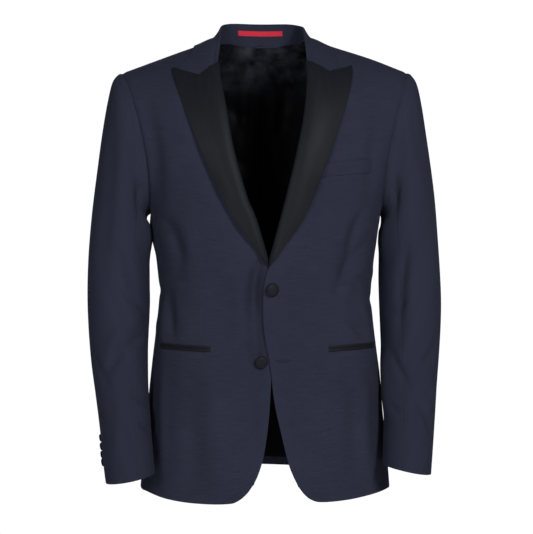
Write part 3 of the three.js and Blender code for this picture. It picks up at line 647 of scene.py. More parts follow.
sideFolds = {
    1: [(46, -258, 46, -312, 0, 26, 2.4), (46, -490, 46, -550, 0, 26, 1.6),
        (-10, -386, 60, -398, 4, 9, -2.0), (0, -352, 70, -366, -4, 9, 1.2),
        (30, -300, 44, -250, 0, 12, -1.6)],
    -1: [(46, -258, 46, -312, 0, 26, 3.2), (-10, -392, 64, -380, -4, 9, -2.2),
        (0, -428, 60, -436, 3, 10, 1.1), (24, -310, 40, -250, 0, 12, -1.4)],
}
backFolds = {
    1: [
        (168, -120, 158, -256, -6, 11, -3.2), (142, -130, 136, -250, -5, 14, 2.0),
        (60, 6, 0, 12, 4, 9, -2.0), (170, -388, 62, -410, -6, 11, -2.8),
        (165, -350, 70, -360, -4, 10, 1.8),
        (150, -428, 52, -446, -4, 10, -1.6), (112, -540, 122, -672, 4, 16, 1.8),
        (80, -560, 86, -672, 3, 12, -1.3),
        (120, -60, 96, -200, 6, 22, 1.4),
    ],
    -1: [
        (-170, -124, -156, -262, 6, 11, -3.0), (-144, -126, -134, -244, 5, 14, 1.8),
        (-64, 4, 0, 10, -4, 9, -1.8), (-168, -400, -58, -416, 5, 11, -2.6),
        (-166, -362, -76, -372, 4, 10, 1.7),
        (-152, -440, -60, -452, 4, 10, -1.5), (-118, -536, -126, -672, -4, 16, 1.6),
        (-84, -556, -78, -672, 3, 12, -1.3),
        (-116, -66, -98, -196, -6, 22, 1.3),
    ],
}
backNeck = {"half": 75, "depth": 75}
vent = {"top": -462, "width": 26, "depth": 2.2, "hemInset": 4}


def hemLevel(level, corner, angle, inset):
    share = (body["hemFade"] - level) / (body["hemFade"] - corner)
    hemmed = readTable(hemBack, "angle", "z", np.degrees(angle)) + inset
    return np.where(level < body["hemFade"], body["hemFade"] + (hemmed - body["hemFade"]) * share, level)


def sideGrid(side, columns, rows, inset=0):
    corner = hemBack["z"][0] + inset
    levels = rowLevels(corner, *rows)
    levels = levels[levels <= seamLevel + 0.01][:, None]
    across = np.linspace(0, 1, columns)[None, :]
    angle = sideSeams["front"] + (math.pi - sideSeams["back"] - sideSeams["front"]) * across
    ahead = angle <= math.pi / 2
    around = armhole["seamAngle"] + (180 - armhole["seamAngle"]) * 2 * across
    around = np.where(around <= 180, around, 360 - around)
    ends = {facing: np.stack(armholePoint(facing, around), axis=-1) for facing in ("front", "back")}
    end = np.where(ahead[..., None], ends["front"] * (1, -1, 1), ends["back"])
    level = levels + 0 * angle
    level = hemLevel(level, corner, math.pi - angle, inset)
    rise = (end[..., 2] - body["blendLevel"]) / (seamLevel - body["blendLevel"])
    low = body["blendLevel"]
    level = np.where(level > low, low + (level - low) * rise, level)
    blend = smooth(body["blendLevel"], seamLevel, levels)[..., None]

    def at(where):
        front = bodyPoint("front", where, np.minimum(angle, math.pi / 2))
        back = bodyPoint("back", where, np.minimum(math.pi - angle, math.pi / 2))
        return np.where(ahead[..., None], front, back)

    grid = at(level) + (end - at(end[..., 2])) * blend
    return grid * (side, 1, 1)


def neckLevel(share):
    low, high = np.full(share.shape, seamLevel), np.full(share.shape, topLevel)
    for _ in range(26):
        middle = (low + high) / 2
        point = bodyPoint("back", middle, share * sectionAt("back", middle)["outer"])
        across = np.minimum(point[..., 0] / backNeck["half"], 1)
        under = point[..., 1] > backNeck["depth"] * np.sqrt(1 - across**2)
        low, high = np.where(under, middle, low), np.where(under, high, middle)
    return high


def backGrid(side, inner, outer, rows, inset=0):
    corner = hemBack["z"][0] + inset
    levels = rowLevels(corner, *rows)[:, None]
    topOuter = float(sectionAt("back", topLevel)["outer"])
    neckShare = float(angleAt("back", topLevel, backNeck["half"])) / topOuter
    shares = np.concatenate([np.linspace(0, neckShare, inner), np.linspace(neckShare, 1, outer)[1:]])
    top = np.where(shares < neckShare - 0.001, neckLevel(shares), topLevel)[None, :]
    climb = (levels - seamLevel) * (top - seamLevel) / armhole["seamAngle"]
    level = np.where(levels > seamLevel, seamLevel + climb, levels)
    angle = shares[None, :] * sectionAt("back", level)["outer"]
    level = hemLevel(level, corner, angle, inset)
    return raised(bodyPoint("back", level, angle) * (side, 1, 1), side)


def backLift(side, grid):
    x, z = grid[..., 0], grid[..., 2]
    return foldLift(backFolds[side], x, z) * foldScale["back"] + ripple(x, z, 0.8, 110, 5 + side)


for side, word in words.items():
    grid = sideGrid(side, 44, bodyRows)
    normals = gridNormals(grid, grid * (1, 1, 0))
    lift = seamDip(grid, ("first", "last", "top"), seams["deep"], seams["wide"])
    below = alongColumns(grid)[-1:] - alongColumns(grid)
    lift += foldLift(sideFolds[side], alongRows(grid), grid[..., 2]) * smooth(0, seams["calm"], below)
    piece = wall(f"side{word.title()}", grid, normals, lift, cloth["wool"], [wool], ("first", "last", "top"))
    dress(piece, [f"side_{word}"])

    grid = backGrid(side, 26, 48, bodyRows)
    normals = levelSeam(gridNormals(grid, grid * (1, 1, 0)))
    closed = smooth(vent["top"] - 12, vent["top"] + 4, grid[..., 2])
    lift = seamDip(grid, ("last", "top"), seams["deep"], seams["wide"])
    lift += backLift(side, grid) * fromArmhole(grid, seams["calm"])
    lift += seamDip(grid, ("first",), seams["deep"], seams["wide"]) * closed
    piece = wall(f"back{word.title()}", grid, normals, lift, cloth["wool"], [wool], ("first", "last", "top"))
    dress(piece, [f"back_{word}"])

rows = rowLevels(hemBack["z"][0] + vent["hemInset"], 30, 60, 4)
rows = rows[rows < vent["top"]]
x = np.linspace(-vent["width"], vent["width"], 24)
grid = bodyPoint("back", rows[:, None], angleAt("back", rows[:, None], x[None, :]))
normals = gridNormals(grid, grid * (1, 1, 0))
lift = np.full(grid.shape[:2], -vent["depth"] - 0.6)
ventUnderlap = wall("ventUnderlap", grid, normals, lift, cloth["wool"], [wool])
dress(ventUnderlap, ["vent_underlap"])
print("sides and back made")


# Sleeves, by ring down the arm and angle: 0 outside, 90 in front, 180 inside

sleeveRings = table(
    "ring outX outZ inX inZ y front back scoop fore hind",
    (0, 229, -31, 186, -257, 0, 68, 66, 10.5, 126, 108),
    (1, 238.5, -34.5, 189, -260, 0, 69, 67, 5, 126, 108),
    (2, 247, -49, 190.5, -264, 0, 69, 67, 2, 126, 107),
    (3, 254.5, -82, 190.5, -271, 0, 68, 67, 0, 126, 106),
    (4, 261.5, -125, 189.5, -281, 0, 67, 66, 0, 125, 104),
    (5, 268.5, -172, 188.5, -294, 0, 66, 65, 0, 124, 102),
    (6, 275, -222, 187.5, -312, 1, 65, 65, 0, 123, 99),
    (7, 280.5, -275, 186.5, -337, 2, 64, 65, 0, 122, 95),
    (8, 285, -330, 186, -367, 2, 62, 64, 0, 121, 91), (9, 286.5, -385, 186, -402, -1, 60, 62, 0, 120, 86),
    (10, 284.5, -438, 187.5, -443, -8, 58, 60, 0, 119, 70),
    (11, 279.5, -490, 188.5, -487, -22, 56, 58, 0, 118, 58),
    (12, 272, -540, 188, -532, -42, 54, 56, 0, 117, 46),
    (13, 265, -590, 185, -578, -64, 53, 54, 0, 116, 36),
    (14, 259, -634, 181.5, -620, -84, 52, 52, 0, 115, 29),
    (15, 253.5, -671, 178, -656, -99, 51, 51, 0, 115, 25),
)
sleeve = {
    "drop": {1: 4, -1: -6}, "dropFrom": 10, "lastRing": 15, "ringLength": 45, "degree": 0.95,
    "headRise": -1.3, "headAt": 0.9, "headWide": 0.9, "liningFrom": 14.3,
}
sleeveSeam = {"sinkOver": 1.3, "sinkUnder": 2.3, "shiftOver": 1.6, "shiftUnder": 5, "wide": 3}
sleeveFolds = {
    1: [
        (104, 7.0, 122, 10.2, 3, 10, -2.4), (84, 6.2, 96, 9.4, 3, 13, 1.3),
        (30, 10.2, 82, 11.3, -3, 9, -2.4),
        (140, 10.9, 98, 12.0, 3, 8, -2.0), (92, 12.3, 42, 13.3, -3, 9, -1.8),
        (150, 9.4, 108, 9.0, 2, 8, -1.6),
        (60, 1.4, 44, 5.0, 5, 14, -1.4), (118, 1.2, 124, 4.6, 3, 10, -2.2),
        (70, 11.6, 30, 12.3, -2, 9, 1.2),
        (-40, 9.2, -120, 9.8, 3, 9, -2.4), (-50, 10.2, -130, 10.6, -3, 9, -2.0),
        (-30, 8.2, -100, 7.6, 3, 11, -1.6),
        (-90, 2.0, -80, 5.4, 5, 14, -1.6), (150, 12.6, 108, 13.0, 2, 7, -1.3),
        (162, 3.5, 162, 6.5, 0, 22, 3.2), (-198, 3.5, -198, 6.5, 0, 22, 3.2),
        (166, 10.9, 166, 12.8, 0, 22, 3.5), (-194, 10.9, -194, 12.8, 0, 22, 3.5),
    ],
    -1: [
        (64, 11.3, 144, 10.2, 4, 8, -2.5), (70, 10.6, 142, 9.5, 4, 9, 1.5),
        (156, 9.5, 98, 8.8, -3, 8, -1.8),
        (168, 12.5, 118, 12.1, 2, 7, -1.9), (166, 13.3, 122, 12.9, 2, 7, -1.5),
        (96, 6.6, 118, 9.0, 3, 12, -1.4),
        (52, 3.4, 60, 8.0, 4, 14, -1.5), (120, 1.2, 126, 4.8, 3, 10, -2.2),
        (84, 12.2, 60, 14.0, 3, 12, 1.1),
        (-36, 9.4, -124, 9.9, -3, 9, -2.5), (-46, 10.4, -128, 10.8, 3, 9, -1.9),
        (-28, 8.4, -104, 7.8, -3, 11, -1.7),
        (-86, 2.2, -78, 5.6, 5, 14, -1.7), (30, 10.8, 72, 11.9, -2, 9, -1.2),
        (160, 3.5, 160, 6.4, 0, 22, 4.0), (-200, 3.5, -200, 6.4, 0, 22, 4.0),
    ],
}


def sleevePoint(side, ring, angle):
    values = {name: readTable(sleeveRings, "ring", name, ring) for name in sleeveRings}
    height, across = np.cos(angle), np.sin(angle)
    fall = sleeve["drop"][side] * smooth(sleeve["dropFrom"], sleeve["lastRing"], ring)
    x = (values["outX"] + values["inX"] + (values["outX"] - values["inX"]) * height) / 2
    x = x - values["scoop"] * across**2
    y = values["y"] - across * np.where(across > 0, values["front"], values["back"])
    z = (values["outZ"] + values["inZ"] + (values["outZ"] - values["inZ"]) * height) / 2 + fall
    return np.stack(np.broadcast_arrays(x, y, z), axis=-1)


def sleeveLift(side, ring, angle):
    degrees = np.degrees(angle)
    wideOne, longOne = sleeve["degree"], sleeve["ringLength"]
    u, v = degrees * wideOne, ring * longOne
    folds = [
        (a * wideOne, b * longOne, c * wideOne, d * longOne, bow, wide, rise)
        for a, b, c, d, bow, wide, rise in sleeveFolds[side]
    ]
    over = 1 - smooth(80, 125, np.abs(degrees))
    head = sleeve["headRise"] * over * np.exp(-(((ring - sleeve["headAt"]) / sleeve["headWide"]) ** 2))
    ease = 0.35 * over * np.sin(degrees * 0.42 + side) * np.exp(-((ring / 1.3) ** 2))
    return foldLift(folds, u, v) * foldScale["sleeve"] + head + ease + ripple(u, v, 0.8, 88, 8 + side)


def sleeveGrid(side, under, columns, rings):
    ring = rings[:, None]
    fore = np.radians(readTable(sleeveRings, "ring", "fore", ring))
    hind = np.radians(readTable(sleeveRings, "ring", "hind", ring))
    start, end = (fore, 2 * math.pi - hind) if under else (-hind, fore)
    angle = start + (end - start) * np.linspace(0, 1, columns)[None, :]
    grid = sleevePoint(side, ring, angle)
    return raised(grid * (side, 1, 1), side), ring + 0 * angle, angle


rings = np.concatenate([np.linspace(0, 1, 28)[:-1], np.linspace(1, sleeve["lastRing"], 192)])
for side, word in words.items():
    for under, label in ((False, "top_sleeve"), (True, "under_sleeve")):
        grid, ring, angle = sleeveGrid(side, under, 54 if under else 90, rings)
        turned = np.where(angle > math.pi, angle - 2 * math.pi, angle)
        middle = sleevePoint(side, ring, 0 * ring) + sleevePoint(side, ring, 0 * ring + math.pi)
        normals = gridNormals(grid, grid - middle / 2 * (side, 1, 1))
        up = alongColumns(grid)
        lift = sleeveLift(side, ring, turned) * smooth(-4, seams["calm"], up)
        lift += seamDip(grid, ("first", "last"), 0.12, 1.6)
        degrees = np.degrees(turned)
        over = 1 - np.where(turned > 0, smooth(45, 95, degrees), smooth(15, 55, -degrees))
        near = np.exp(-((up / sleeveSeam["wide"]) ** 2))
        lift -= (sleeveSeam["sinkOver"] * over + sleeveSeam["sinkUnder"] * (1 - over)) * near
        shift = sleeveSeam["shiftOver"] * over + sleeveSeam["shiftUnder"] * (1 - over)
        grid[..., 0] -= side * shift * near
        inner = (ring < sleeve["liningFrom"]).astype(int)
        name = ("underSleeve" if under else "topSleeve") + word.title()
        piece = wall(name, grid, normals, lift, cloth["wool"], [wool, lining], ("first", "last"), inner)
        dress(piece, [f"{label}_{word}"])
print("sleeves made")


# Lapels, with the fold at the roll line, the gorge and the peak

lapelEdge = table(
    "z out", (-344, 0), (-330, 10.5), (-317, 19), (-285, 43), (-250, 63.5), (-198, 87.5), (-150, 106.5),
    (-114, 119.5), (-84, 130), (-41, 143), (-23.5, 144.5),
)
lapelProfile = table(
    "place inward share rise backIn backRise",
    (0, -6, 0, -5.8, 0, 1.4), (1, 1.2, 0, -5.8, 0, 1.4), (2, 4.2, 0, -2.6, -1.2, 0.6),
    (3, 3.6, 0, 1.6, -1.35, -0.2), (4, 0, 0.12, 4.8, 0, -1.4), (5, 0, 0.42, 5, 0, -1.4),
    (6, 0, 0.72, 4.4, 0, -1.4), (7, 0, 1, 4, 0, -1.4),
)
lapelWide = table(
    "z right left", (-344, 0, 0), (-285, -1, 1), (-217, 1.5, -2.5), (-166, 2.5, -4), (-90, 3, -5),
        (-24, 2, -8),
)
lapelLook = {
    "belly": 1.8, "start": {1: -343.5, -1: -342.5},
    "gorge": {1: (67, -18), -1: (80, -22.5)}, "peakZ": {1: -24.4, -1: -29.2},
    "notch": {1: (0.463, -37), -1: (0.417, -44.5)},
}


def notchShare(share, place):
    return np.maximum(1 - np.abs(share - place) / np.where(share < place, place, 1 - place), 0)


def lapelGrid(side, up, place, back):
    start, middle = lapelLook["start"][side], side * opening["middle"]
    (gorgeX, gorgeZ), peakZ = lapelLook["gorge"][side], lapelLook["peakZ"][side]
    notchPlace, notchZ = lapelLook["notch"][side]
    values = {name: readTable(lapelProfile, "place", name, place) for name in lapelProfile}
    innerZ = start + (gorgeZ - start) * up
    outerZ = start + (peakZ - start) * up
    inner = np.minimum(rollHalf(side, innerZ), gorgeX) + middle
    wider = readTable(lapelWide, "z", "left" if side > 0 else "right", outerZ)
    outer = readTable(lapelEdge, "z", "out", outerZ) + wider + middle
    share = values["share"]
    dip = (notchZ - gorgeZ - (peakZ - gorgeZ) * notchPlace) * notchShare(share, notchPlace) * up**8
    z = innerZ + (outerZ - innerZ) * share + dip
    taper = 0.3 + 0.7 * smooth(0, 0.05, up)
    x = inner + (outer - inner) * share - (values["inward"] + (values["backIn"] if back else 0)) * taper
    point, normal = frontAt(x, z)
    rise = (values["rise"] + (values["backRise"] if back else 0)) * taper + overlapLift(side, x, z)
    belly = lapelLook["belly"] * np.sin(np.pi * np.clip(up, 0, 1)) * np.sin(np.pi * share)
    edge = 0.5 * np.sin(up * 14 + side) * smooth(0.6, 1, share)
    grid = point + normal * (rise + belly + edge)[..., None]
    return grid * (side, 1, 1)


up = (1 - (1 - np.linspace(0, 1, 168)) ** 1.25)[:, None]
place = np.concatenate([np.linspace(0, 4, 26)[:-1], np.linspace(4, 7, 44)])[None, :]
for side, word in words.items():
    face, reverse = lapelGrid(side, up, place, False), lapelGrid(side, up, place, True)
    piece = shell(f"lapel{word.title()}", face, reverse, [satin])
    below = [f"front{word.title()}"]
    dress(piece, [f"lapel_{word}"])
print("lapels made")


# Collar: the stand, the fold and the fall, which ends in a notch at either side

collarWords = "around neckX neckY neckZ foldX foldY foldZ edgeX edgeY edgeZ"
collarBack = [
    (0, 0, 74.2, 28, 0, 84, 62, 0, 92, 0), (0.25, 36, 64, 28, 37, 74, 61.5, 50, 84, 0),
    (0.45, 59, 44, 28, 58, 52, 56, 82, 60, 0),
]
collarLevels = {
    1: table(
        collarWords, *collarBack, (0.62, 67, 14, 28.5, 65, 18, 47, 95, 20, 0),
        (0.8, 65, -26, 16, 65, -28, 25, 108, -24, -4), (1, 66, -55, -16, 64, -71, -17, 122, -62, -26),
    ),
    -1: table(
        collarWords, *collarBack, (0.62, 69, 14, 28.5, 65, 18, 46, 96, 20, 0),
        (0.8, 70, -26, 14, 70, -28, 23, 114, -24, -6), (1, 76, -55, -20, 77, -71, -21, 139.5, -62, -31.5),
    ),
}
collarLook = {
    "standOff": 4, "thin": 2.3, "lean": 2.5, "ease": 0.09, "round": 2.6, "hollow": -3,
    "roll": 3, "tuck": 1.5, "cornerFrom": 0.76,
}
collarNotch = {1: (0.61, -36), -1: (0.475, -43.2)}


def offSurface(point, rise):
    # moves out whatever lies too near to the shoulders, square to them
    for _ in range(3):
        x, y = point[..., 0], point[..., 1]
        height = shoulderHeight(x, y)
        slopeX = (shoulderHeight(x + 1, y) - shoulderHeight(x - 1, y)) / 2
        slopeY = (shoulderHeight(x, y + 1) - shoulderHeight(x, y - 1)) / 2
        way = np.stack([-slopeX, -slopeY, np.ones_like(slopeX)], axis=-1)
        steep = np.linalg.norm(way, axis=-1)
        short = np.maximum(rise - (point[..., 2] - height) / steep, 0)
        point = point + way * (short / steep)[..., None]
    return point


def collarPlace(around):
    # how far round for depth and height, which have no corner at the middle of the back
    ease = collarLook["ease"]
    return (np.sqrt(around**2 + ease**2) - ease) / (math.sqrt(1 + ease**2) - ease)


def collarHalf(side, place, part, share):
    eased = collarPlace(place)
    values = {
        name: readTable(collarLevels[side], "around", name, place if name.endswith("X") else eased)
        for name in collarLevels[side]
    }
    neck = np.stack([values["neckX"], values["neckY"], values["neckZ"]], axis=-1)
    fold = np.stack([values["foldX"], values["foldY"], values["foldZ"]], axis=-1)
    over = shoulderHeight(values["edgeX"], values["edgeY"]) + collarLook["standOff"] - collarLook["thin"]
    ahead = smooth(0.66, 0.8, place)
    edgeZ = over * (1 - ahead) + values["edgeZ"] * ahead
    edge = np.stack([values["edgeX"], values["edgeY"], edgeZ], axis=-1)
    away = unit((edge - neck) * (1, 1, 0))
    share = share + 0 * place
    along = share[..., None]
    if part == "stand":
        return neck + (fold - neck) * along - away * (collarLook["lean"] * share * (1 - place))[..., None]
    curve = np.sin(np.pi * share)
    beside = smooth(0.3, 0.55, place)
    out = (collarLook["round"] * (1 - beside) + collarLook["hollow"] * beside) * curve
    out += collarLook["roll"] * (1 - share) ** 2
    point = fold + (edge - fold) * along + away * out[..., None]
    notchPlace, notchZ = collarNotch[side]
    corner = smooth(collarLook["cornerFrom"], 1, place) ** 2
    ends = collarLevels[side]["foldZ"][-1], collarLevels[side]["edgeZ"][-1]
    dip = notchZ - ends[0] - (ends[1] - ends[0]) * notchPlace
    tucked = collarLook["tuck"] * (1 - share) ** 4
    point[..., 2] += out * 0.8 - tucked + dip * notchShare(share, notchPlace) * corner
    onto = smooth(0.7, 0.92, place) * smooth(0.02, 0.3, share)
    point[..., 1] += (frontAt(point[..., 0], point[..., 2])[0][..., 1] - point[..., 1]) * onto
    lifted = offSurface(point, collarLook["standOff"] - collarLook["thin"] * smooth(0.45, 1, share))
    return point + (lifted - point) * smooth(0.02, 0.22, share)[..., None]


def collarPoint(around, part, share):
    place = np.abs(around)
    halves = {side: collarHalf(side, place, part, share) * (side, 1, 1) for side in (1, -1)}
    point = np.where((around < 0)[..., None], halves[-1], halves[1])
    return point + (opening["middle"], 0, 0)


around = (np.sign(np.linspace(-1, 1, 241)) * (1 - (1 - np.abs(np.linspace(-1, 1, 241))) ** 1.2))[:, None]
stand = collarPoint(around, "stand", np.linspace(-0.2, 0.92, 18)[None, :])
fall = collarPoint(around, "fall", np.linspace(0.03, 1, 46)[None, :])
t = np.linspace(0, 1, 9)[1:-1][None, :, None]
rise, drop = unit(stand[:, -1:] - stand[:, -3:-2]), unit(fall[:, 4:5] - fall[:, :1])
reach = np.linalg.norm(fall[:, :1] - stand[:, -1:], axis=-1, keepdims=True) * 1.3
bridge = (2 * t**3 - 3 * t**2 + 1) * stand[:, -1:] + (3 * t**2 - 2 * t**3) * fall[:, :1]
bridge = bridge + (t**3 - 2 * t**2 + t) * rise * reach + (t**3 - t**2) * drop * reach
face = np.concatenate([stand, bridge, fall], axis=1)
normals = unit(np.cross(np.gradient(face, axis=1), np.gradient(face, axis=0)))
if (normals[:, -30:] * (0, 0, 1)).sum() < 0:
    normals = -normals
collar = shell("collarCloth", face, face - normals * cloth["wool"], [wool])
dress(collar, ["collar"])
print("collar made")


# Linings follow the cloth that they line

liningFolds = [
    (-8, 20, -14, -190, 3, 6, -1.8), (-26, 18, -40, -160, -4, 9, 1.6), (20, 16, 34, -170, 4, 10, 1.5),
    (-52, 0, -30, -120, 6, 8, -1.4), (46, 0, 22, -140, -6, 9, -1.5), (-60, -150, 40, -190, 8, 12, -1.6),
    (-38, 18, -50, -34, 0, 6, 2.0), (-24, 18, -18, -28, 0, 5, -2.0), (14, 16, 22, -30, 0, 5, 1.9),
    (36, 16, 46, -36, 0, 6, -2.1), (50, 10, 62, -30, 0, 6, 1.6), (-70, -60, -20, -90, 4, 9, -1.3),
    (60, -90, 10, -60, -4, 9, 1.2), (0, -200, -6, -640, 2, 9, 1.6),
]
liningRows = (12, 56, 46)
for side, word in words.items():
    parts = {
        "front": frontGrid(side, np.linspace(0, 1, 30), liningRows, cloth["liningHem"], cloth["liningFront"]),
        "side": sideGrid(side, 20, liningRows, cloth["liningHem"]),
        "back": backGrid(side, 12, 24, liningRows, cloth["liningHem"]),
    }
    for part, grid in parts.items():
        normals = gridNormals(grid, grid * (1, 1, 0))
        lift = np.full(grid.shape[:2], -float(cloth["liningDepth"]))
        sewn = ("last", "top") if part == "front" else ("first", "last", "top")
        if part == "front":
            normals = levelSeam(normals)
            lift += frontLift(side, grid[..., 0], grid[..., 2])
        if part == "back":
            normals = levelSeam(normals)
            folds = foldLift(liningFolds, grid[..., 0], grid[..., 2]) * foldScale["lining"]
            lift += backLift(side, grid) - folds - 0.8
            up = alongColumns(grid)
            atNeck = np.exp(-(((up[-1:] - up) / 9) ** 2)) * (1 - smooth(56, 74, np.abs(grid[..., 0])))
            grid = grid + atNeck[..., None] * (0, -1.5, 6.5)
        if part == "side":
            lift += foldLift(sideFolds[side], alongRows(grid), grid[..., 2])
        title = f"lining{part.title()}{word.title()}"
        piece = wall(title, grid, normals, lift, cloth["lining"], [lining], sewn)
        dress(piece, [f"lining_{part}_{word}"])
print("linings made")


# The label, blank, inside the collar

tape = {"half": 38, "low": 41, "high": 50, "thick": 0.6, "gap": 0.5, "reach": 148}
x = np.linspace(-tape["half"], tape["half"], 60)[None, :]
z = np.linspace(tape["low"], tape["high"], 10)[:, None]
around = x / tape["reach"]
neckZ = readTable(collarLevels[1], "around", "neckZ", collarPlace(around))
foldZ = readTable(collarLevels[1], "around", "foldZ", collarPlace(around))
stand = collarPoint(around + 0 * z, "stand", (z - neckZ) / (foldZ - neckZ))
stand[..., 2] = z
bulge = 0.35 * (1 - (x / tape["half"]) ** 8) + 0.12 * np.sin(x * 0.4)
face = stand - (0, 1, 0) * (tape["gap"] + tape["thick"] + bulge[..., None] + 0 * z[..., None])
labelTape = shell("labelTape", face, face + (0, tape["thick"], 0), [labelRed])
dress(labelTape, ["label"])


# Pocket jets, the breast welt, the buttonhole and its thread

jet = {
    "inner": 91.5, "outer": 168, "height": 4.6, "middle": -470.5, "outerLift": 3.5,
    "crown": 1.1, "gap": 0.3,
}
welt = {"inner": 68, "outer": 163, "height": 21, "z": -194, "outerLift": 9.5, "crown": 1.0, "gap": 0.35}


def stripPoints(side, strip, low, high, columns, rows, crown, thick):
    across, up = np.linspace(0, 1, columns)[None, :], np.linspace(0, 1, rows)[:, None]
    x = strip["inner"] + (strip["outer"] - strip["inner"]) * across + 0 * up
    z = low + (high - low) * up + strip["outerLift"] * across
    point, normal = frontAt(x, z)
    point, normal = point * (side, 1, 1), normal * (side, 1, 1)
    proud = frontLift(side, point[..., 0], point[..., 2]) + 0.35
    curve = crown * (1 - (2 * up - 1) ** 4) * (1 - (2 * across - 1) ** 30)
    face = point + normal * (proud + thick + curve)[..., None]
    return face, point + normal * proud[..., None]


for side, word in words.items():
    low = jet["middle"] - jet["height"] - jet["gap"] / 2
    high = jet["middle"] + jet["gap"] / 2
    for label, start in (("lower", low), ("upper", high)):
        face, reverse = stripPoints(side, jet, start, start + jet["height"], 90, 12, jet["crown"], 0.5)
        piece = shell(f"jet{label.title()}{word.title()}", face, reverse, [satin])
        dress(piece, [f"jet_{label}_{word}"])
low, high = welt["z"] - welt["height"] / 2, welt["z"] + welt["height"] / 2
face, reverse = stripPoints(1, welt, low, high, 110, 30, 0.5, 1.0)
breastWelt = shell("breastWelt", face, reverse, [wool])
dress(breastWelt, ["breast_welt"])


def stitch(start, end, side, radius, rise):
    # one small stitch of thread, thick in the middle
    steps = np.linspace(0, 1, 7)
    x = start[0] + (end[0] - start[0]) * steps
    z = start[1] + (end[1] - start[1]) * steps
    point, normal = frontAt(np.abs(x) if side < 0 else x, z)
    point, normal = point * (side if side < 0 else 1, 1, 1), normal * (side if side < 0 else 1, 1, 1)
    lift = frontLift(side, point[:, 0], point[:, 2]) + overlapLift(side, x, z) + rise
    spine = point + normal * (lift + radius * np.sin(np.pi * steps))[:, None]
    along = unit(np.gradient(spine, axis=0))
    cross = unit(np.cross(along, normal))
    turns = np.linspace(0, 2 * math.pi, 9)[:-1]
    size = radius * (0.35 + 0.65 * np.sin(np.pi * np.clip(steps, 0.02, 0.98)))[:, None, None]
    ring = cross[:, None] * np.cos(turns)[None, :, None] + normal[:, None] * np.sin(turns)[None, :, None]
    return spine[:, None] + ring * size


def stitchPiece(name, stitches):
    points, faces, count = [], [], 0
    for tube in stitches:
        rows, columns = tube.shape[:2]
        index = np.arange(rows * columns).reshape(rows, columns) + count
        after = np.roll(index, -1, axis=1)
        faces.append(np.stack([index[:-1], after[:-1], after[1:], index[1:]], axis=-1).reshape(-1, 4))
        for end in (index[0], index[-1][::-1]):
            corners = [[0, 3, 2, 1], [0, 5, 4, 3], [0, 7, 6, 5]]
            faces.append(np.array([[end[at] for at in corner] for corner in corners]))
        points.append(tube.reshape(-1, 3))
        count += rows * columns
    points, faces = np.concatenate(points), np.concatenate(faces)
    piece = makeMesh(name, points, faces, points[:, (0, 2)], [thread], np.zeros(len(faces), int))
    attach(piece, "root")
    return piece


buttonhole = {"start": 9, "end": 31.5, "z": -488.6, "half": 1.5, "pitch": 0.85}
stitches = []
count = int((buttonhole["end"] - buttonhole["start"]) / buttonhole["pitch"])
for number in range(count):
    x = buttonhole["start"] + number * buttonhole["pitch"]
    eye = 0.9 if number < 3 else 0
    for way in (-1, 1):
        near = buttonhole["z"] + way * (0.25 + eye * 0.5)
        stitches.append(stitch((x, near), (x + 0.1, near + way * (buttonhole["half"] + eye)), 1, 0.42, 0.25))
stitchPiece("buttonholeThread", stitches)
barLook = {"inset": 2.2, "pitch": 1.5}
stitches = []
for number in range(12):
    z = welt["z"] - 9 + number * barLook["pitch"] + 5.4
    start = (welt["outer"] - barLook["inset"], z)
    stitches.append(stitch(start, (start[0] + 0.1, z + 0.95), 1, 0.3, 2.0))
stitchPiece("weltThread", stitches)
print("pockets and thread made")


# Covered buttons, each a dome of gathered satin on its own axis

buttons = {
    "front": {"radius": 10, "height": 4.4},
    "cuff": {"radius": 6.2, "height": 3.4, "pitch": 13, "lowest": 14.2},
    "ringLength": 47, "turn": {1: 12, -1: 20}, "gap": 0.35,
    "lean": {"Top": (0.3, 0, 0.06), "Lower": (0.12, 0, -0.16)}, "stem": {"Top": 2.2, "Lower": 1.4},
}
buttonProfile = table(
    "place out up",
    (0, 0, 0), (1, 0.55, 0), (2, 0.9, 0.02), (3, 1, 0.2), (4, 0.985, 0.46), (5, 0.86, 0.74),
    (6, 0.55, 0.93),
    (7, 0.25, 0.99), (8, 0, 1),
)


def buttonPiece(name, size, point, normal, node):
    place = np.linspace(0, 8, 49)[:, None]
    turn = np.linspace(0, 2 * math.pi, 65)[:-1][None, :]
    out = readTable(buttonProfile, "place", "out", place) + 0 * turn
    rise = readTable(buttonProfile, "place", "up", place) + 0 * turn
    gather = 0.02 * np.cos(turn * 18) * np.exp(-(((place - 2.6) / 1.0) ** 2))
    out, rise = out * (1 + gather), rise + 0.25 * gather
    across = unit(np.cross(normal, (0.0, 0.1, 1.0)))
    other = np.cross(normal, across)
    grid = across * (out * np.cos(turn) * size["radius"])[..., None]
    grid = grid + other * (out * np.sin(turn) * size["radius"])[..., None]
    grid = grid + normal * (rise * size["height"])[..., None] + point + normal * buttons["gap"]
    rows, columns = grid.shape[:2]
    grid[0], grid[-1] = grid[0].mean(0), grid[-1].mean(0)
    index = np.arange(rows * columns).reshape(rows, columns)
    after = np.roll(index, -1, axis=1)
    faces = np.stack([index[:-1], after[:-1], after[1:], index[1:]], axis=-1).reshape(-1, 4)
    spots = np.stack(np.broadcast_arrays(out * np.cos(turn), out * np.sin(turn)), axis=-1) * size["radius"]
    slots = np.zeros(len(faces), int)
    piece = makeMesh(name, grid.reshape(-1, 3), faces, spots.reshape(-1, 2), [satin], slots)
    weld(piece)
    dress(piece, [node])


def weld(piece):
    # the points at both ends of the axis become one each
    shape = bmesh.new()
    shape.from_mesh(piece.data)
    bmesh.ops.remove_doubles(shape, verts=shape.verts, dist=1e-6)
    bmesh.ops.recalc_face_normals(shape, faces=shape.faces)
    shape.to_mesh(piece.data)
    shape.free()


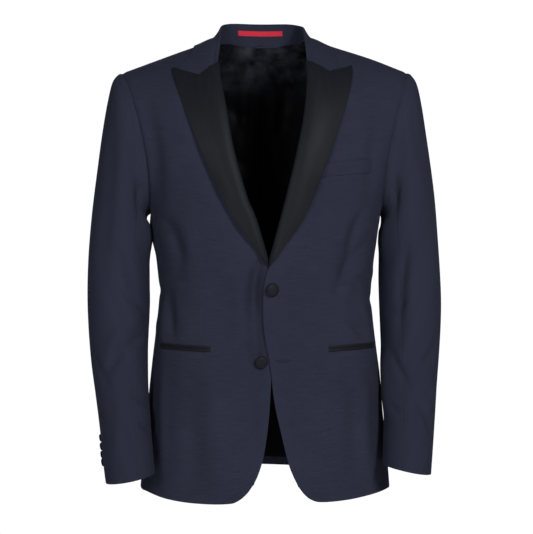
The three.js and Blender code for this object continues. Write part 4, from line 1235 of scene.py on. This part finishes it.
for name, x, z, side in (("Top", 2.5, -378, 1), ("Lower", -13.5, -490.5, -1)):
    point, normal = frontAt(np.array(abs(x) if side < 0 else x), np.array(float(z)))
    point, normal = point * (side if side < 0 else 1, 1, 1), normal * (side if side < 0 else 1, 1, 1)
    rise = float(overlapLift(side, x, z)) + float(frontLift(side, point[0], point[2])) + 0.2
    lean = unit(normal + np.array(buttons["lean"][name]))
    place = point + normal * (rise + buttons["stem"][name])
    buttonPiece(f"buttonFront{name}", buttons["front"], place, lean, f"button_front_{name.lower()}")
for side, word in words.items():
    for number in range(4):
        ring = np.array(buttons["cuff"]["lowest"] - number * buttons["cuff"]["pitch"] / buttons["ringLength"])
        angle = -np.radians(readTable(sleeveRings, "ring", "hind", ring) - buttons["turn"][side])
        around = sleevePoint(side, ring, angle + 0.02) - sleevePoint(side, ring, angle - 0.02)
        down = sleevePoint(side, ring + 0.05, angle) - sleevePoint(side, ring - 0.05, angle)
        normal = unit(np.cross(around, down))
        normal = normal * (1 if normal[0] > 0 else -1) * (side, 1, 1)
        point = sleevePoint(side, ring, angle) * (side, 1, 1)
        proud = float(sleeveLift(side, ring, angle))
        node = f"button_cuff_{word}_{number + 1}"
        title = f"buttonCuff{word.title()}{number + 1}"
        buttonPiece(title, buttons["cuff"], point + normal * proud, normal, node)
print("buttons made")


# Floor, light and camera

setting = {
    "floorZ": -1.45, "floorSize": 6, "world": (1, 1, 1, 1), "zenith": (0.05, 0.05, 0.06, 1),
    "flank": 0.45, "ahead": 0.42, "worldStrength": 1.02,
    "view": {"turn": -4, "distance": 2.6, "height": -0.343, "aside": 0.0024, "lens": 108.2, "sensor": 36},
}
bpy.ops.mesh.primitive_plane_add(size=setting["floorSize"], location=(0, 0, setting["floorZ"]))
floor = bpy.context.object
floor.name = "floor"
pale = Finish(bpy.data.materials.new("paleFloor"))
speck = pale.node("TexNoise", {}, {"Scale": 40})
colour = pale.mix(speck, (0.84, 0.84, 0.84, 1), (0.86, 0.86, 0.86, 1))
floorShader = pale.node("BsdfPrincipled", {}, {"Base Color": colour, "Roughness": 0.8})
pale.node("OutputMaterial", {}, {"Surface": floorShader})
floor.data.materials.append(pale.owner)

world = bpy.data.worlds.new("paleStudio")
sky = Finish(world)
direction = sky.node("TexCoord", {}, {})
height = sky.node("SeparateXYZ", {}, {"Vector": direction}, output=2)
across = sky.node("SeparateXYZ", {}, {"Vector": direction}, output=0)
flank = sky.node("MapRange", {"interpolation_type": "SMOOTHSTEP"}, {0: across * across, 1: 0.36, 2: 0.95})
rise = sky.node("MapRange", {"interpolation_type": "SMOOTHSTEP"}, {0: height, 1: 0.15, 2: 0.46})
depth = sky.node("SeparateXYZ", {}, {"Vector": direction}, output=1)
ahead = sky.node("MapRange", {"interpolation_type": "SMOOTHSTEP"}, {0: depth, 1: 0.3, 2: -0.6})
lit = (1 - flank * setting["flank"]) * (1 - ahead * setting["ahead"]) * (1 - rise)
shade = 1 - lit
colour = sky.mix(shade, setting["world"], setting["zenith"])
backdrop = sky.node("Background", {}, {"Color": colour, "Strength": setting["worldStrength"]})
sky.node("OutputWorld", {}, {"Surface": backdrop})
bpy.context.scene.world = world


def areaLight(name, place, aim, size, energy):
    made = bpy.data.lights.new(name, "AREA")
    made.shape, made.size, made.energy = "DISK", size, energy
    lamp = bpy.data.objects.new(name, made)
    lamp.location = place
    way = np.array(aim) - np.array(place)
    flat = math.hypot(way[0], way[1])
    lamp.rotation_euler = (math.atan2(flat, -way[2]), 0, math.atan2(-way[0], way[1]))
    bpy.context.scene.collection.objects.link(lamp)


areaLight("keyLight", (1.35, -3.0, 1.0), (0, 0, -0.35), 0.8, 168)
areaLight("fillLight", (-1.5, -2.9, 0.3), (0, 0, -0.35), 1.1, 78)
areaLight("backLight", (-0.8, 3.2, 0.9), (0, 0, -0.35), 1.6, 125)

view = setting["view"]
turn = math.radians(view["turn"])
camera = bpy.data.objects.new("camera", bpy.data.cameras.new("camera"))
camera.location = (
    view["distance"] * math.sin(turn) + view["aside"] * math.cos(turn),
    -view["distance"] * math.cos(turn) + view["aside"] * math.sin(turn),
    view["height"],
)
camera.rotation_euler = (math.radians(90), 0, turn)
camera.data.lens = view["lens"]
camera.data.sensor_width = view["sensor"]
camera.data.clip_end = 60
bpy.context.scene.collection.objects.link(camera)
bpy.context.scene.camera = camera
bpy.context.scene.view_settings.view_transform = "Standard"
print("light and camera set")
